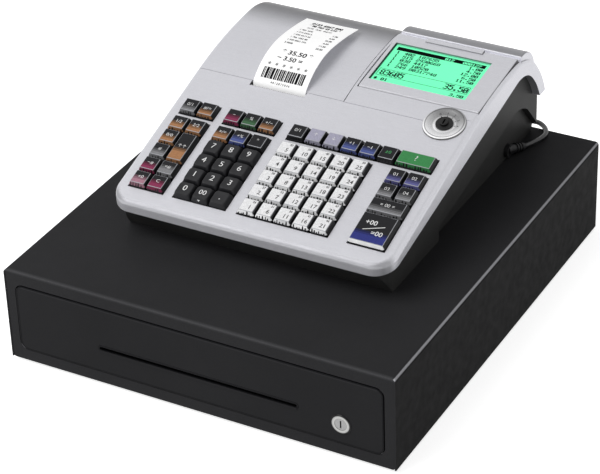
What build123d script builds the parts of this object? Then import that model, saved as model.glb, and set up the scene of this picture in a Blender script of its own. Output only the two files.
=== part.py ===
from build123d import *
import math
import os

# Electronic cash register with a receipt printer, standing on a steel cash drawer.
# Millimetres. X to the operator's right, Y to the rear, Z up.
# Origin: centre of the drawer unit on the surface that its feet stand on.

os.makedirs("parts", exist_ok=True)

# ------------------------------------------------------------------ drawer unit
CASE_WIDTH = 410.0
CASE_DEPTH = 460.0
CASE_HEIGHT = 99.0
CASE_WALL = 1.5
CASE_EDGE_R = 4.0
FOOT_HEIGHT = 4.0
FOOT_RADIUS = 9.0
FOOT_INSET = 27.0
FIT_GAP = 0.3
FRAME_DEPTH = 7.6
FRAME_SET_BACK = 0.4
FRAME_CORNER_R = 2.6
SCREW_HEAD_R = 3.6
SCREW_HEAD_HEIGHT = 0.8
SCREW_SHANK_R = 1.62
SCREW_LENGTH = 6.0
SCREW_SIDE_INSET = 17.0
CASE_SCREW_ZS = (22.0, 86.0)
DRAWER_GAP = 1.0

PANEL_SIDE_MARGIN = 12.0
PANEL_HEIGHT = 71.0
PANEL_BOTTOM = 13.0
PANEL_THICKNESS = 4.0
PANEL_CORNER_R = 8.0
PANEL_EDGE_R = 1.0
PANEL_RETURN_RISE = 10.0
SLOT_WIDTH = 209.0
SLOT_HEIGHT = 3.6
SLOT_CENTRE_X = 1.5
SLOT_CENTRE_Z = 39.5
SLOT_LIP = 2.2
SLOT_LIP_PROUD = 0.6

LOCK_SIDE_INSET = 54.6
LOCK_Z = 33.9
LOCK_RADIUS = 10.4
LOCK_PROUD = 0.8
LOCK_LENGTH = 11.0
LOCK_CHAMFER = 0.5
PLUG_SET_BACK = 0.2
BARREL_RADIUS = 9.0
PLUG_RADIUS = 6.0
CAM_LENGTH = 26.0
CAM_WIDTH = 9.0
CAM_THICKNESS = 2.0
KEYWAY_WIDTH = 1.4
KEYWAY_HEIGHT = 8.0
KEYWAY_DEPTH = 6.0

PAN_SIDE_MARGIN = 25.0
PAN_REAR_MARGIN = 45.0
PAN_WALL = 1.2
PAN_FRONT_GAP = 22.0
PAN_FLOOR_Z = 17.5
PAN_TOP_Z = 80.0
FLANGE_END_GAP = 0.5
LEDGE_WIDTH = 7.0

RAIL_HEIGHT = 20.0
RAIL_WALL = 1.5
RAIL_CENTRE_Z = 40.0
RAIL_SIDE_GAP = 4.0
RAIL_FRONT_GAP = 4.0
RAIL_REAR_GAP = 8.0
RAIL_GAP = 0.2
ROLLER_RADIUS = 8.0
ROLLER_WIDTH = 5.0
ROLLER_PIN_R = 2.5
ROLLER_END_INSET = 14.0
ROLLER_CHAMFER = 0.5
ROLLER_FRONT_GAP = 1.5
ROLLER_PIN_GAP = 1.0
RUNNING_GAP = 0.05

TRAY_FLOOR_Z = 34.0
TRAY_TOP_Z = 80.0
TRAY_WALL = 3.0
TRAY_SIDE_GAP = 1.0
TRAY_COLUMNS = 4
COIN_ROWS = 2
COIN_DEPTH = 66.0
CLIP_ROD_R = 2.0
CLIP_WIDTH = 26.0
CLIP_DROP = 22.0
CLIP_LENGTH = 118.0
CLIP_THICKNESS = 1.2
CLIP_HUB_R = 4.5
CLIP_ROD_INSET = 20.0
CLIP_ROD_DROP = 1.5
CLIP_FLAT = 40.0
CLIP_TIP = 6.0
CLIP_TIP_RISE = 4.0

LATCH_REAR_INSET = 19.0
LATCH_PIVOT_Z = 62.0
STRIKER_Z = 46.0
STRIKER_REACH = 12.0
STRIKER_HALF_WIDTH = 7.0
STRIKER_THICKNESS = 2.0
STRIKER_LIP = 5.0
HOOK_HALF_WIDTH = 4.0
HOOK_HALF_HEIGHT = 3.0
HOOK_TIP = 3.0
HOOK_LIFT = 6.0
HOOK_BOSS_R = 4.5
HOOK_PIN_R = 2.0
SOLENOID_HALF_WIDTH = 22.0
SOLENOID_PLATE = 2.0
SOLENOID_TOP = 74.0
SOLENOID_COIL_TOP = 38.0
SOLENOID_COIL_R = 8.0
CHEEK_INNER = 6.0
CHEEK_LENGTH = 5.0
CHEEK_DROP = 8.0
CHEEK_RISE = 6.0
SPRING_X = 60.0
SPRING_Z = 55.0
SPRING_RADIUS = 6.0
SPRING_WIRE_R = 0.8
SPRING_TURNS = 6

# ------------------------------------------------------------------ register body
BODY_HALF_WIDTH = 149.0
BODY_FRONT_Y = -131.0
BODY_CORNER_R = 22.0
BODY_EDGE_R = 5.5
SHELL = 2.5
WELL_FRONT_INSET = 9.0
WELL_REAR_INSET = 3.0
GROOVE_WIDTH = 0.7
GROOVE_DEPTH = 0.6
GROOVE_RING_LAP = 4.0
GROOVE_RISE = 12.0
KEY_SLOPE = 17.3
KNEE_Y = 43.0
KNEE_HEIGHT = 93.4
CREST_R = 400.0
CREST_END_SLOPE = 2.0
REAR_R = 66.0
REAR_TURN = -42.0
REAR_LOWER_R = 100.0

RIM_FRONT_HEIGHT = 28.0
RIM_SLOPE = 12.9
RIM_TURN_INSET = 79.5
RIM_CREST_R = 40.0
RIM_REAR_R = 90.0
RIM_REAR_TURN = -45.0
RIM_REAR_END = -68.0

BASE_HALF_WIDTH = 141.0
BASE_FRONT_Y = -107.0
BASE_NOSE_Y = -126.0
BASE_REAR_INSET = 3.5
BASE_REAR_TOP_INSET = 9.0
BASE_REAR_FOOT_INSET = 8.5
BASE_REAR_MID_HEIGHT = 30.0
BASE_REAR_LOW_HEIGHT = 12.0
BASE_CORNER_R = 18.0
OUTLINE_MARGIN = 40.0
RECESS_DEPTH = 7.0
RECESS_FRONT_Y = -10.0
RECESS_FRONT_HEIGHT = 15.0
RECESS_CREST_Y = 170.0
RECESS_CREST_HEIGHT = 49.0
RECESS_SHOULDER_RUN = 22.0
RECESS_SHOULDER_DROP = 3.0
RECESS_FALL_RUN = 24.0
RECESS_FALL_DROP = 10.0

# ------------------------------------------------------------------ keyboard
KEY_PITCH = 19.2
KEY_GAP = 0.9
WINDOW_CLEARANCE = 0.4
LEFT_KEYS_X = -117.0
NUMBER_KEYS_X = -58.7
DEPARTMENT_KEYS_X = 29.8
TOP_KEYS_X = 59.3
RIGHT_KEYS_X = 116.9
TOP_ROW_S = -8.0
BLOCK_TOP_S = -22.4
KEY_PROUD = 5.5
KEY_SHOULDER = 2.0
KEY_SKIRT_DEPTH = 1.5
KEY_CORNER_R = 2.0
KEY_TAPER = 28.0
STEM_RADIUS = 2.0
STEM_BOTTOM = 9.4
FRAME_TOP_DEPTH = 5.0
FRAME_PLATE = 1.5
MAT_TOP_DEPTH = 12.6
MAT_PLATE = 0.8
MAT_MARGIN = 0.4
DOME_HEIGHT = 3.0
DOME_OUTER_R = 4.5
DOME_INNER_R = 2.6
BOARD_PLATE = 1.6
BOARD_POST_HEIGHT = 5.0
BOARD_POST_R = 3.5
BOARD_POST_INSET = 6.0
MAIN_BOARD = (-110.0, 50.0, -80.0, 20.0)
# Components on the main board: centre, width, depth and height.
COMPONENTS = ((-60.0, -30.0, 24.0, 24.0, 3.0), (-10.0, -20.0, 34.0, 16.0, 3.0), (10.0, 5.0, 14.0, 12.0, 4.0))
TRANSFORMER_X = 98.0
TRANSFORMER_Y = 92.0
CORE_WIDTH = 54.0
CORE_DEPTH = 36.0
CORE_HEIGHT = 45.0
CORE_LIMB = 9.0
BOBBIN_DEPTH = 48.0
BOBBIN_GAP = 0.5
KEY_AREA_HALF_WIDTH = 138.0
KEY_AREA_TOP_S = 5.0
KEY_AREA_BOTTOM_S = -121.5
KEY_AREA_WALL = 2.0

# ------------------------------------------------------------------ key switch
SWITCH_X = 120.7
SWITCH_S = 46.2
SWITCH_RING_R = 21.0
SWITCH_RING_PROUD = 1.6
SWITCH_RING_SEAT = 1.0
SWITCH_BARREL_R = 12.5
SWITCH_BARREL_DEPTH = 22.0
SWITCH_ROTOR_R = 8.4
SWITCH_RING_EDGE_R = 0.96
SWITCH_DISH_R = 63.0
SWITCH_DISH_DEPTH = 2.4
ROTOR_BOSS_R = 4.2
ROTOR_BOSS_HEIGHT = 2.2
ROTOR_BOSS_EDGE_R = 0.8
KEY_SLOT_HALF_WIDTH = 0.8
KEY_SLOT_HALF_LENGTH = 3.2
KEY_SLOT_DEPTH = 6.0

# ------------------------------------------------------------------ displays
SPLIT_X = 14.2
COVER_GAP = 0.5
DISPLAY_LEFT_X = 17.5
DISPLAY_RIGHT_X = 145.5
DISPLAY_FRONT_Y = 66.2
DISPLAY_FRONT_HEIGHT = 100.4
DISPLAY_TILT = 9.0
DISPLAY_DEPTH = 92.5
DISPLAY_THICKNESS = 14.0
DISPLAY_WALL = 2.0
DISPLAY_HINGE_R = 3.6
DISPLAY_REAR_R = 3.0
DISPLAY_SIDE_R = 1.0
DISPLAY_FRAME = 3.0
HINGE_CLEARANCE = 1.0
DISPLAY_GAP = 0.6
DISPLAY_REAR_GAP = 1.1
DISPLAY_BAY_GAP = 2.0
BAY_WALL = 1.5
LCD_LEFT_X = 21.8
LCD_RIGHT_X = 124.9
LCD_FRONT = 14.2
LCD_REAR = 76.5
LCD_BORDER = 3.0
LCD_THICKNESS = 3.0
NOTCH_LEFT_X = 48.8
NOTCH_RIGHT_X = 110.3
NOTCH_DEPTH = 6.0
NOTCH_PROUD = 1.4
NOTCH_INSET = 0.5
NOTCH_SUNK = 1.0
NOTCH_EDGE_R = 1.0
HINGE_PIN_R = 1.5
HINGE_PIN_REACH = 4.0

POPUP_FRONT_Y = 162.6
POPUP_REAR_Y = 193.0
POPUP_BOTTOM = 72.0
POPUP_CAP_BOTTOM = 95.0
POPUP_CORE_WIDTH = 106.0
POPUP_CORE_STEP = 1.0
POPUP_FRONT_TOP = 114.0
POPUP_CREST = 113.0
POPUP_REAR_TOP = 99.0
POPUP_CREST_SHIFT = 1.0
POPUP_EDGE_R = 1.5
POPUP_LEFT_X = 17.0
POPUP_RIGHT_X = 146.8
POPUP_GAP = 0.6
POPUP_POST_R = 10.0
POPUP_POST_BOTTOM = 6.0
SLEEVE_TOP = 55.0
SLEEVE_WALL = 3.0
POPUP_WINDOW_W = 96.0
POPUP_WINDOW_H = 18.0
POPUP_WINDOW_SILL = 4.0
POPUP_WINDOW_DEPTH = 1.2

# ------------------------------------------------------------------ printer
PAPER_X = -56.0
PAPER_WIDTH = 58.0
PAPER_THICKNESS = 0.4
ROLL_RADIUS = 38.0
ROLL_CORE_R = 9.0
ROLL_CORE_WALL = 2.0
ROLL_Y = 150.0
ROLL_HEIGHT = 47.0
TROUGH_GAP = 0.5
TROUGH_WALL = 2.0
SIDE_PLATE = 2.0
PLATEN_RADIUS = 7.0
PLATEN_Y = 49.2
PLATEN_HEIGHT = 79.0
PLATEN_SHAFT_R = 2.5
GEAR_MODULE = 0.75
PLATEN_TEETH = 24
PINION_TEETH = 12
GEAR_WIDTH = 4.0
GEAR_DIRECTION = -45.0
GEAR_EXTRA_CENTRE = 0.15
GEAR_SIDE_GAP = 1.0
MOTOR_GAP = 2.5
PLATE_SIDE_GAP = 2.5
PLATE_RISE = 6.0
PLATE_SHOULDER = 12.0
PLATE_TOP_LENGTH = 10.0
PLATE_TOP_SLOPE = 14.0
HEAD_BAR = 2.0
HEAD_BAR_BOTTOM = 60.0
HEAD_BAR_GAP = 0.3
BRACKET_THICKNESS = 1.4
BRACKET_HALF_WIDTH = 8.0
BRACKET_DROP = 14.0
SHAFT_END = 2.0
HEAD_GAP = 0.5
HEAD_DROP = 7.0
PINION_SHAFT_END = 6.0
TEETH_PITCH = 2.0
TEAR_BAR_DROP = 2.6
MOTOR_RADIUS = 9.5
MOTOR_LENGTH = 20.0
MOTOR_SHAFT_R = 1.0
OUTLET_FRONT_Y = 36.8
OUTLET_MARGIN = 1.5
TEAR_BAR_Y = 38.0
TEAR_BAR_MARGIN = 3.5
TEAR_BAR_EAR = 3.0
TEAR_BAR_THICKNESS = 1.2
PAPER_START_Y = 41.85
PAPER_BEND_HEIGHT = 90.5
PAPER_FOOT = 6.0
COVER_AXIS_INSET = 8.9
COVER_AXIS_HEIGHT = 56.0
COVER_REAR_LIFT = 2.0
KNUCKLE_R = 3.0
KNUCKLE_WIDTH = 12.0
KNUCKLE_SWING_GAP = 1.5
HINGE_BAY_DEPTH = 16.0
LUG_WIDTH = 8.0
LUG_XS = (-112.0, -22.0)
LUG_BOTTOM = 34.0
GUIDE_GAP = 0.8
GUIDE_THICKNESS = 1.2

# ------------------------------------------------------------------ mains lead
CORD_DIAMETER = 5.0
BOOT_INSET = 68.5
BOOT_HEIGHT = 8.8
BOOT_RUN = (9.9, 22.0, -4.4)
BOOT_BASE_R = 5.5
BOOT_TIP_R = 3.4
BOOT_RIBS = 3
BOOT_RIB_PROUD = 1.0
BOOT_BASE_LENGTH = 4.0
BOOT_BASE_EDGE = 1.5
COIL_TURN_DIAMETER = 55.0
COIL_COLUMNS = 4
COIL_LAYERS = 2
COIL_X = 30.0
COIL_REAR_OFFSET = 50.0
PLUG_LENGTH = 24.0
PLUG_WIDTH = 22.0
PLUG_HEIGHT = 14.0
PLUG_SLEEVE = 20.0
PLUG_SLEEVE_R = 3.2
PLUG_PIN = 16.0
PLUG_PIN_PITCH = 12.7
PLUG_PIN_THICKNESS = 1.5
PLUG_PIN_WIDTH = 6.3
PLUG_SLEEVE_FLARE = 1.8
PLUG_SIDE_R = 3.0
PLUG_FRONT_R = 2.0
COIL_CLEARANCE = 0.2

# ------------------------------------------------------------------ derived places
CASE_BOTTOM = FOOT_HEIGHT
CASE_TOP = FOOT_HEIGHT + CASE_HEIGHT
CASE_FRONT_Y = -CASE_DEPTH / 2
CASE_REAR_Y = CASE_DEPTH / 2
CASE_INNER_HALF = CASE_WIDTH / 2 - CASE_WALL
PANEL_WIDTH = CASE_WIDTH - 2 * PANEL_SIDE_MARGIN
LOCK_X = CASE_WIDTH / 2 - LOCK_SIDE_INSET
PAN_WIDTH = CASE_WIDTH - 2 * PAN_SIDE_MARGIN
PAN_FRONT_Y = CASE_FRONT_Y + PANEL_THICKNESS + PAN_FRONT_GAP
PAN_REAR_Y = CASE_REAR_Y - PAN_REAR_MARGIN
LATCH_PIVOT_Y = CASE_REAR_Y - LATCH_REAR_INSET
COIL_Y = CASE_REAR_Y + COIL_REAR_OFFSET
SLOPE = math.radians(KEY_SLOPE)
BODY_REAR_Y = (
    KNEE_Y
    + CREST_R * (math.sin(SLOPE) - math.sin(math.radians(CREST_END_SLOPE)))
    + REAR_R * (math.sin(math.radians(CREST_END_SLOPE)) - math.sin(math.radians(REAR_TURN)))
    + REAR_LOWER_R * (math.sin(math.radians(REAR_TURN)) + 1)
)
RIM_TURN_Y = BODY_REAR_Y - RIM_TURN_INSET
BASE_REAR_Y = BODY_REAR_Y - BASE_REAR_INSET
BASE_REAR_TOP_Y = BODY_REAR_Y - BASE_REAR_TOP_INSET
BASE_REAR_FOOT_Y = BODY_REAR_Y - BASE_REAR_FOOT_INSET
COVER_AXIS_Y = BODY_REAR_Y - COVER_AXIS_INSET
KEYBOARD_ORIGIN_Z = CASE_TOP + KNEE_HEIGHT - KNEE_Y * math.tan(SLOPE)
KEYBOARD = Plane(
    origin=(0, 0, KEYBOARD_ORIGIN_Z),
    x_dir=(1, 0, 0),
    z_dir=(0, -math.sin(SLOPE), math.cos(SLOPE)),
)
TILT = math.radians(DISPLAY_TILT)
DISPLAY = Plane(
    origin=(0, DISPLAY_FRONT_Y, CASE_TOP + DISPLAY_FRONT_HEIGHT),
    x_dir=(1, 0, 0),
    z_dir=(0, -math.sin(TILT), math.cos(TILT)),
)


# ------------------------------------------------------------------ helpers
def block(x0, x1, y0, y1, z0, z1):
    """Box given by its limits."""
    size = (x1 - x0, y1 - y0, z1 - z0)
    centre = ((x0 + x1) / 2, (y0 + y1) / 2, (z0 + z1) / 2)
    return Pos(*centre) * Box(*size)


def rod_x(x0, x1, y, z, radius):
    """Cylinder along X."""
    return Pos((x0 + x1) / 2, y, z) * Rot(0, 90, 0) * Cylinder(radius, x1 - x0)


def rod_y(y0, y1, x, z, radius):
    """Cylinder along Y."""
    return Pos(x, (y0 + y1) / 2, z) * Rot(90, 0, 0) * Cylinder(radius, y1 - y0)


def rod_z(z0, z1, x, y, radius):
    """Cylinder along Z."""
    return Pos(x, y, (z0 + z1) / 2) * Cylinder(radius, z1 - z0)


def upright_plate(x0, x1, z0, z1, y0, y1, corner):
    """Plate that faces the front, with rounded corners."""
    outline = RectangleRounded(x1 - x0, z1 - z0, corner)
    return Pos((x0 + x1) / 2, y1, (z0 + z1) / 2) * Rot(90, 0, 0) * extrude(outline, y1 - y0)


def side_prism(outline, x0, x1):
    """Extrudes a side view, drawn as (y, z), from x0 to x1."""
    return extrude(Plane.YZ.offset(x0) * outline, x1 - x0)


def save(name, shape):
    """Writes one node as a STEP file."""
    export_step(shape, f"parts/{name}.step")


def group(solids):
    """Separate solids that share one node."""
    return Compound(children=list(solids))


def bend(start, heading, radius, end_heading):
    """Arc that leaves start along heading, in degrees, and turns right to end_heading."""
    a, b = math.radians(heading), math.radians(end_heading)
    centre = (start[0] + radius * math.sin(a), start[1] - radius * math.cos(a))

    def at(angle):
        return (centre[0] - radius * math.sin(angle), centre[1] + radius * math.cos(angle))

    return ThreePointArc(start, at((a + b) / 2), at(b)), at(b)


# ------------------------------------------------------------------ register outlines
def body_outline(inset):
    """Side view of the register's outer form, moved inwards by inset."""
    knee = (KNEE_Y + inset * math.sin(SLOPE), CASE_TOP + KNEE_HEIGHT - inset * math.cos(SLOPE))
    front_y = BODY_FRONT_Y + inset
    front = (front_y, knee[1] - (knee[0] - front_y) * math.tan(SLOPE))
    crest, crest_end = bend(knee, KEY_SLOPE, CREST_R - inset, CREST_END_SLOPE)
    rear, rear_end = bend(crest_end, CREST_END_SLOPE, REAR_R - inset, REAR_TURN)
    lower, lower_end = bend(rear_end, REAR_TURN, REAR_LOWER_R - inset, -90)
    edges = [Line(front, knee), crest, rear, lower]
    edges += [Polyline(lower_end, (lower_end[0], CASE_TOP), (front_y, CASE_TOP), front)]
    return make_face(Curve() + edges), lower_end[0]


def body_block(inset):
    """Register's outer form as one solid, moved inwards by inset."""
    outline, rear_y = body_outline(inset)
    half = BODY_HALF_WIDTH - inset
    front_y = BODY_FRONT_Y + inset
    plan = Pos(0, (front_y + rear_y) / 2) * Rectangle(2 * half, rear_y - front_y)
    front_corners = plan.vertices().sort_by(Axis.Y)[:2]
    plan = fillet(front_corners, BODY_CORNER_R - inset)
    rear_corners = plan.vertices().sort_by(Axis.Y)[-2:]
    plan = fillet(rear_corners, BODY_CORNER_R / 2 - inset)
    tall = Pos(0, 0, CASE_TOP) * extrude(plan, KNEE_HEIGHT * 2)
    return side_prism(outline, -half, half) & tall


def rim_region(lift):
    """Everything below the seam between the upper and the lower case, raised by lift."""
    slope = math.tan(math.radians(RIM_SLOPE))
    far_y = BODY_FRONT_Y - OUTLINE_MARGIN
    bottom = CASE_TOP - OUTLINE_MARGIN

    def on_line(y):
        return (y, CASE_TOP + RIM_FRONT_HEIGHT + lift + (y - BODY_FRONT_Y) * slope)

    turn = on_line(RIM_TURN_Y)
    crest, crest_end = bend(turn, RIM_SLOPE, RIM_CREST_R, RIM_REAR_TURN)
    rear, rear_end = bend(crest_end, RIM_REAR_TURN, RIM_REAR_R, RIM_REAR_END)
    rear_y = BASE_REAR_Y + OUTLINE_MARGIN
    edges = [Line(on_line(far_y), turn), crest, rear]
    tail = Polyline(rear_end, (rear_y, rear_end[1]), (rear_y, bottom), (far_y, bottom), on_line(far_y))
    outline = make_face(Curve() + (edges + [tail]))
    return side_prism(outline, -BODY_HALF_WIDTH - 20, BODY_HALF_WIDTH + 20)


RIM_REAR_Z = rim_region(0).faces().filter_by(Plane.XY).sort_by(Axis.Z)[-1].center().Z


def base_block(inset):
    """Lower case's outer form, moved inwards by inset, and open towards the upper case."""
    top = CASE_TOP + KNEE_HEIGHT * 2
    nose_z = CASE_TOP + RIM_FRONT_HEIGHT
    shear = (BASE_NOSE_Y - BASE_FRONT_Y) / RIM_FRONT_HEIGHT
    floor_z = CASE_TOP + inset
    rear_mid_z = CASE_TOP + BASE_REAR_MID_HEIGHT
    rear_low_z = CASE_TOP + BASE_REAR_LOW_HEIGHT
    points = [
        (BASE_FRONT_Y + inset + shear * inset, floor_z),
        (BASE_NOSE_Y + inset, nose_z),
        (BASE_NOSE_Y + inset, top),
        (BASE_REAR_TOP_Y - inset, top),
        (BASE_REAR_TOP_Y - inset, RIM_REAR_Z),
        (BASE_REAR_Y - inset, rear_mid_z),
        (BASE_REAR_Y - inset, rear_low_z),
        (BASE_REAR_FOOT_Y - inset, floor_z),
    ]
    half = BASE_HALF_WIDTH - inset
    solid = side_prism(make_face(Polyline(*points, close=True)), -half, half)
    front_y = BASE_NOSE_Y + inset
    rear_y = BASE_REAR_Y - inset
    plan = Pos(0, (front_y + rear_y) / 2) * Rectangle(2 * half, rear_y - front_y)
    plan = fillet(plan.vertices().sort_by(Axis.Y)[:2], BASE_CORNER_R - inset)
    plan = fillet(plan.vertices().sort_by(Axis.Y)[-2:], BASE_CORNER_R / 2 - inset)
    return solid & (Pos(0, 0, CASE_TOP) * extrude(plan, top - CASE_TOP)) - side_recesses(inset)


def side_recesses(inset):
    """Sunk panel low on each flank, under an arched crease."""
    front = RECESS_FRONT_Y - inset
    low = CASE_TOP - 1
    crest_z = CASE_TOP + RECESS_CREST_HEIGHT + inset
    shoulder = (RECESS_CREST_Y - RECESS_SHOULDER_RUN, crest_z - RECESS_SHOULDER_DROP)
    crest = (RECESS_CREST_Y, crest_z)
    fall = (RECESS_CREST_Y + RECESS_FALL_RUN, crest_z - RECESS_FALL_DROP)
    edges = [
        Polyline((front, low), (front, CASE_TOP + RECESS_FRONT_HEIGHT + inset), shoulder),
        ThreePointArc(shoulder, crest, fall),
        Polyline(fall, (BASE_REAR_Y + 4, CASE_TOP), (BASE_REAR_Y + 4, low), (front, low)),
    ]
    outline = make_face(Curve() + edges)
    inner = BASE_HALF_WIDTH - RECESS_DEPTH - inset
    outer = BODY_HALF_WIDTH + 5
    return side_prism(outline, inner, outer) + side_prism(outline, -outer, -inner)


# ------------------------------------------------------------------ drawer unit
def drawer_case():
    """Folded sheet wrap: top, sides and rear, open at the front and below."""
    half = CASE_WIDTH / 2
    outer = block(-half, half, CASE_FRONT_Y, CASE_REAR_Y, CASE_BOTTOM, CASE_TOP)
    long_edges = outer.edges().filter_by(Axis.Y).group_by(Axis.Z)[-1]
    rear_edges = outer.edges().filter_by(Axis.X).group_by(Axis.Z)[-1].sort_by(Axis.Y)[-1:]
    corner_edges = outer.edges().filter_by(Axis.Z).group_by(Axis.Y)[-1]
    outer = fillet(list(long_edges) + list(rear_edges) + list(corner_edges), CASE_EDGE_R)
    inner = block(-CASE_INNER_HALF, CASE_INNER_HALF, CASE_FRONT_Y - 1, CASE_REAR_Y - CASE_WALL,
                  CASE_BOTTOM - 1, CASE_TOP - CASE_WALL)
    inner_r = CASE_EDGE_R - CASE_WALL
    top_edges = inner.edges().filter_by(Axis.Y).group_by(Axis.Z)[-1]
    return outer - fillet(top_edges, inner_r)


def case_base():
    """Bottom plate between the side walls."""
    return block(-CASE_INNER_HALF, CASE_INNER_HALF, CASE_FRONT_Y + FRAME_SET_BACK + FRAME_DEPTH,
                 CASE_REAR_Y - CASE_WALL, CASE_BOTTOM, CASE_BOTTOM + CASE_WALL)


def case_front_frame():
    """Frame around the drawer's front panel."""
    y0 = CASE_FRONT_Y + FRAME_SET_BACK
    outer = upright_plate(-CASE_INNER_HALF, CASE_INNER_HALF, CASE_BOTTOM, CASE_TOP - CASE_WALL,
                          y0, y0 + FRAME_DEPTH, FRAME_CORNER_R)
    half = PANEL_WIDTH / 2 + DRAWER_GAP
    z0 = CASE_BOTTOM + PANEL_BOTTOM
    opening = upright_plate(-half, half, z0 - DRAWER_GAP, z0 + PANEL_HEIGHT + DRAWER_GAP,
                            y0 - 1, y0 + FRAME_DEPTH + 1, PANEL_CORNER_R + DRAWER_GAP)
    return outer - opening


def case_feet():
    """Four rubber feet under the base plate."""
    x = CASE_WIDTH / 2 - FOOT_INSET
    y = CASE_DEPTH / 2 - FOOT_INSET
    return group(rod_z(0, FOOT_HEIGHT, sx * x, sy * y, FOOT_RADIUS) for sx in (-1, 1) for sy in (-1, 1))


def pan_head_screw(x, z):
    """Screw whose head stands on the case's rear wall."""
    head = rod_y(CASE_REAR_Y, CASE_REAR_Y + SCREW_HEAD_HEIGHT, x, z, SCREW_HEAD_R)
    return head + rod_y(CASE_REAR_Y - SCREW_LENGTH, CASE_REAR_Y, x, z, SCREW_SHANK_R)


def screw_places():
    """Places of the rear screws as (x, z)."""
    x = CASE_WIDTH / 2 - SCREW_SIDE_INSET
    return [(side * x, z) for side in (-1, 1) for z in CASE_SCREW_ZS]


def fasteners():
    """Pan-head screws in the rear wall of the drawer case."""
    return group(pan_head_screw(x, z) for x, z in screw_places())


def screw_holes():
    """Clearance for the rear screws."""
    radius = SCREW_SHANK_R + RUNNING_GAP
    return group(rod_y(CASE_REAR_Y - SCREW_LENGTH, CASE_REAR_Y + 1, x, z, radius) for x, z in screw_places())


RAIL_INNER_X = PAN_WIDTH / 2 + RAIL_SIDE_GAP
FRAME_REAR_Y = CASE_FRONT_Y + FRAME_SET_BACK + FRAME_DEPTH
RAIL_FRONT_Y = FRAME_REAR_Y + 2 * ROLLER_RADIUS + RAIL_FRONT_GAP
RAIL_REAR_Y = CASE_REAR_Y - CASE_WALL - RAIL_REAR_GAP
CASE_ROLLER_Y = FRAME_REAR_Y + ROLLER_RADIUS + ROLLER_FRONT_GAP
DRAWER_ROLLER_Y = PAN_REAR_Y - ROLLER_END_INSET
FLANGE_Z = RAIL_CENTRE_Z + RAIL_HEIGHT / 2 + FIT_GAP
CASE_ROLLER_Z = FLANGE_Z - RUNNING_GAP - ROLLER_RADIUS


def case_rails():
    """Channels on the case walls that guide the drawer's rear rollers, and the front roller pins."""
    solids = []
    for side in (-1, 1):
        x0, x1 = sorted((side * RAIL_INNER_X, side * CASE_INNER_HALF))
        z0 = RAIL_CENTRE_Z - RAIL_HEIGHT / 2
        z1 = RAIL_CENTRE_Z + RAIL_HEIGHT / 2
        outer = block(x0, x1, RAIL_FRONT_Y, RAIL_REAR_Y, z0, z1)
        web = side * RAIL_WALL
        cut = ROLLER_RADIUS + RAIL_GAP
        inner = block(x0 - web, x1 - web, RAIL_FRONT_Y - 1, RAIL_REAR_Y + 1,
                      RAIL_CENTRE_Z - cut, RAIL_CENTRE_Z + cut)
        solids.append(outer - inner)
        p0, p1 = sorted((side * (RAIL_INNER_X + ROLLER_PIN_GAP), side * CASE_INNER_HALF))
        solids.append(rod_x(p0, p1, CASE_ROLLER_Y, CASE_ROLLER_Z, ROLLER_PIN_R))
    return group(solids)


def roller_pair(y, z, inner_x):
    """Two rollers on one axis, left and right."""
    solids = []
    for side in (-1, 1):
        x0, x1 = sorted((side * inner_x, side * (inner_x + ROLLER_WIDTH)))
        wheel = rod_x(x0, x1, y, z, ROLLER_RADIUS)
        rim = wheel.edges().filter_by(GeomType.CIRCLE)
        wheel = chamfer(rim, ROLLER_CHAMFER)
        solids.append(wheel - rod_x(x0 - 1, x1 + 1, y, z, ROLLER_PIN_R + RUNNING_GAP))
    return group(solids)


def drawer_front():
    """Front panel with its slip slot, lock hole and two side returns."""
    half = PANEL_WIDTH / 2
    z0 = CASE_BOTTOM + PANEL_BOTTOM
    panel = upright_plate(-half, half, z0, z0 + PANEL_HEIGHT, CASE_FRONT_Y,
                          CASE_FRONT_Y + PANEL_THICKNESS, PANEL_CORNER_R)
    front_edges = panel.faces().sort_by(Axis.Y)[0].edges()
    panel = fillet(front_edges, PANEL_EDGE_R)
    slot_z = CASE_BOTTOM + SLOT_CENTRE_Z
    x0 = SLOT_CENTRE_X - SLOT_WIDTH / 2
    x1 = SLOT_CENTRE_X + SLOT_WIDTH / 2
    lip_top = slot_z - SLOT_HEIGHT / 2
    panel += block(x0, x1, CASE_FRONT_Y - SLOT_LIP_PROUD, CASE_FRONT_Y + 1, lip_top - SLOT_LIP, lip_top)
    panel -= upright_plate(x0, x1, lip_top, lip_top + SLOT_HEIGHT, CASE_FRONT_Y - 2,
                           CASE_FRONT_Y + PANEL_THICKNESS + 1, SLOT_HEIGHT / 2 - 0.05)
    panel -= rod_y(CASE_FRONT_Y - 2, CASE_FRONT_Y + PANEL_THICKNESS + 1, LOCK_X,
                   CASE_BOTTOM + LOCK_Z, BARREL_RADIUS + RUNNING_GAP)
    for side in (-1, 1):
        x0, x1 = sorted((side * (PAN_WIDTH / 2 - PAN_WALL), side * PAN_WIDTH / 2))
        panel += block(x0, x1, CASE_FRONT_Y + PANEL_THICKNESS, PAN_FRONT_Y,
                       PAN_FLOOR_Z + PANEL_RETURN_RISE, PAN_TOP_Z)
    return panel


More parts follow.
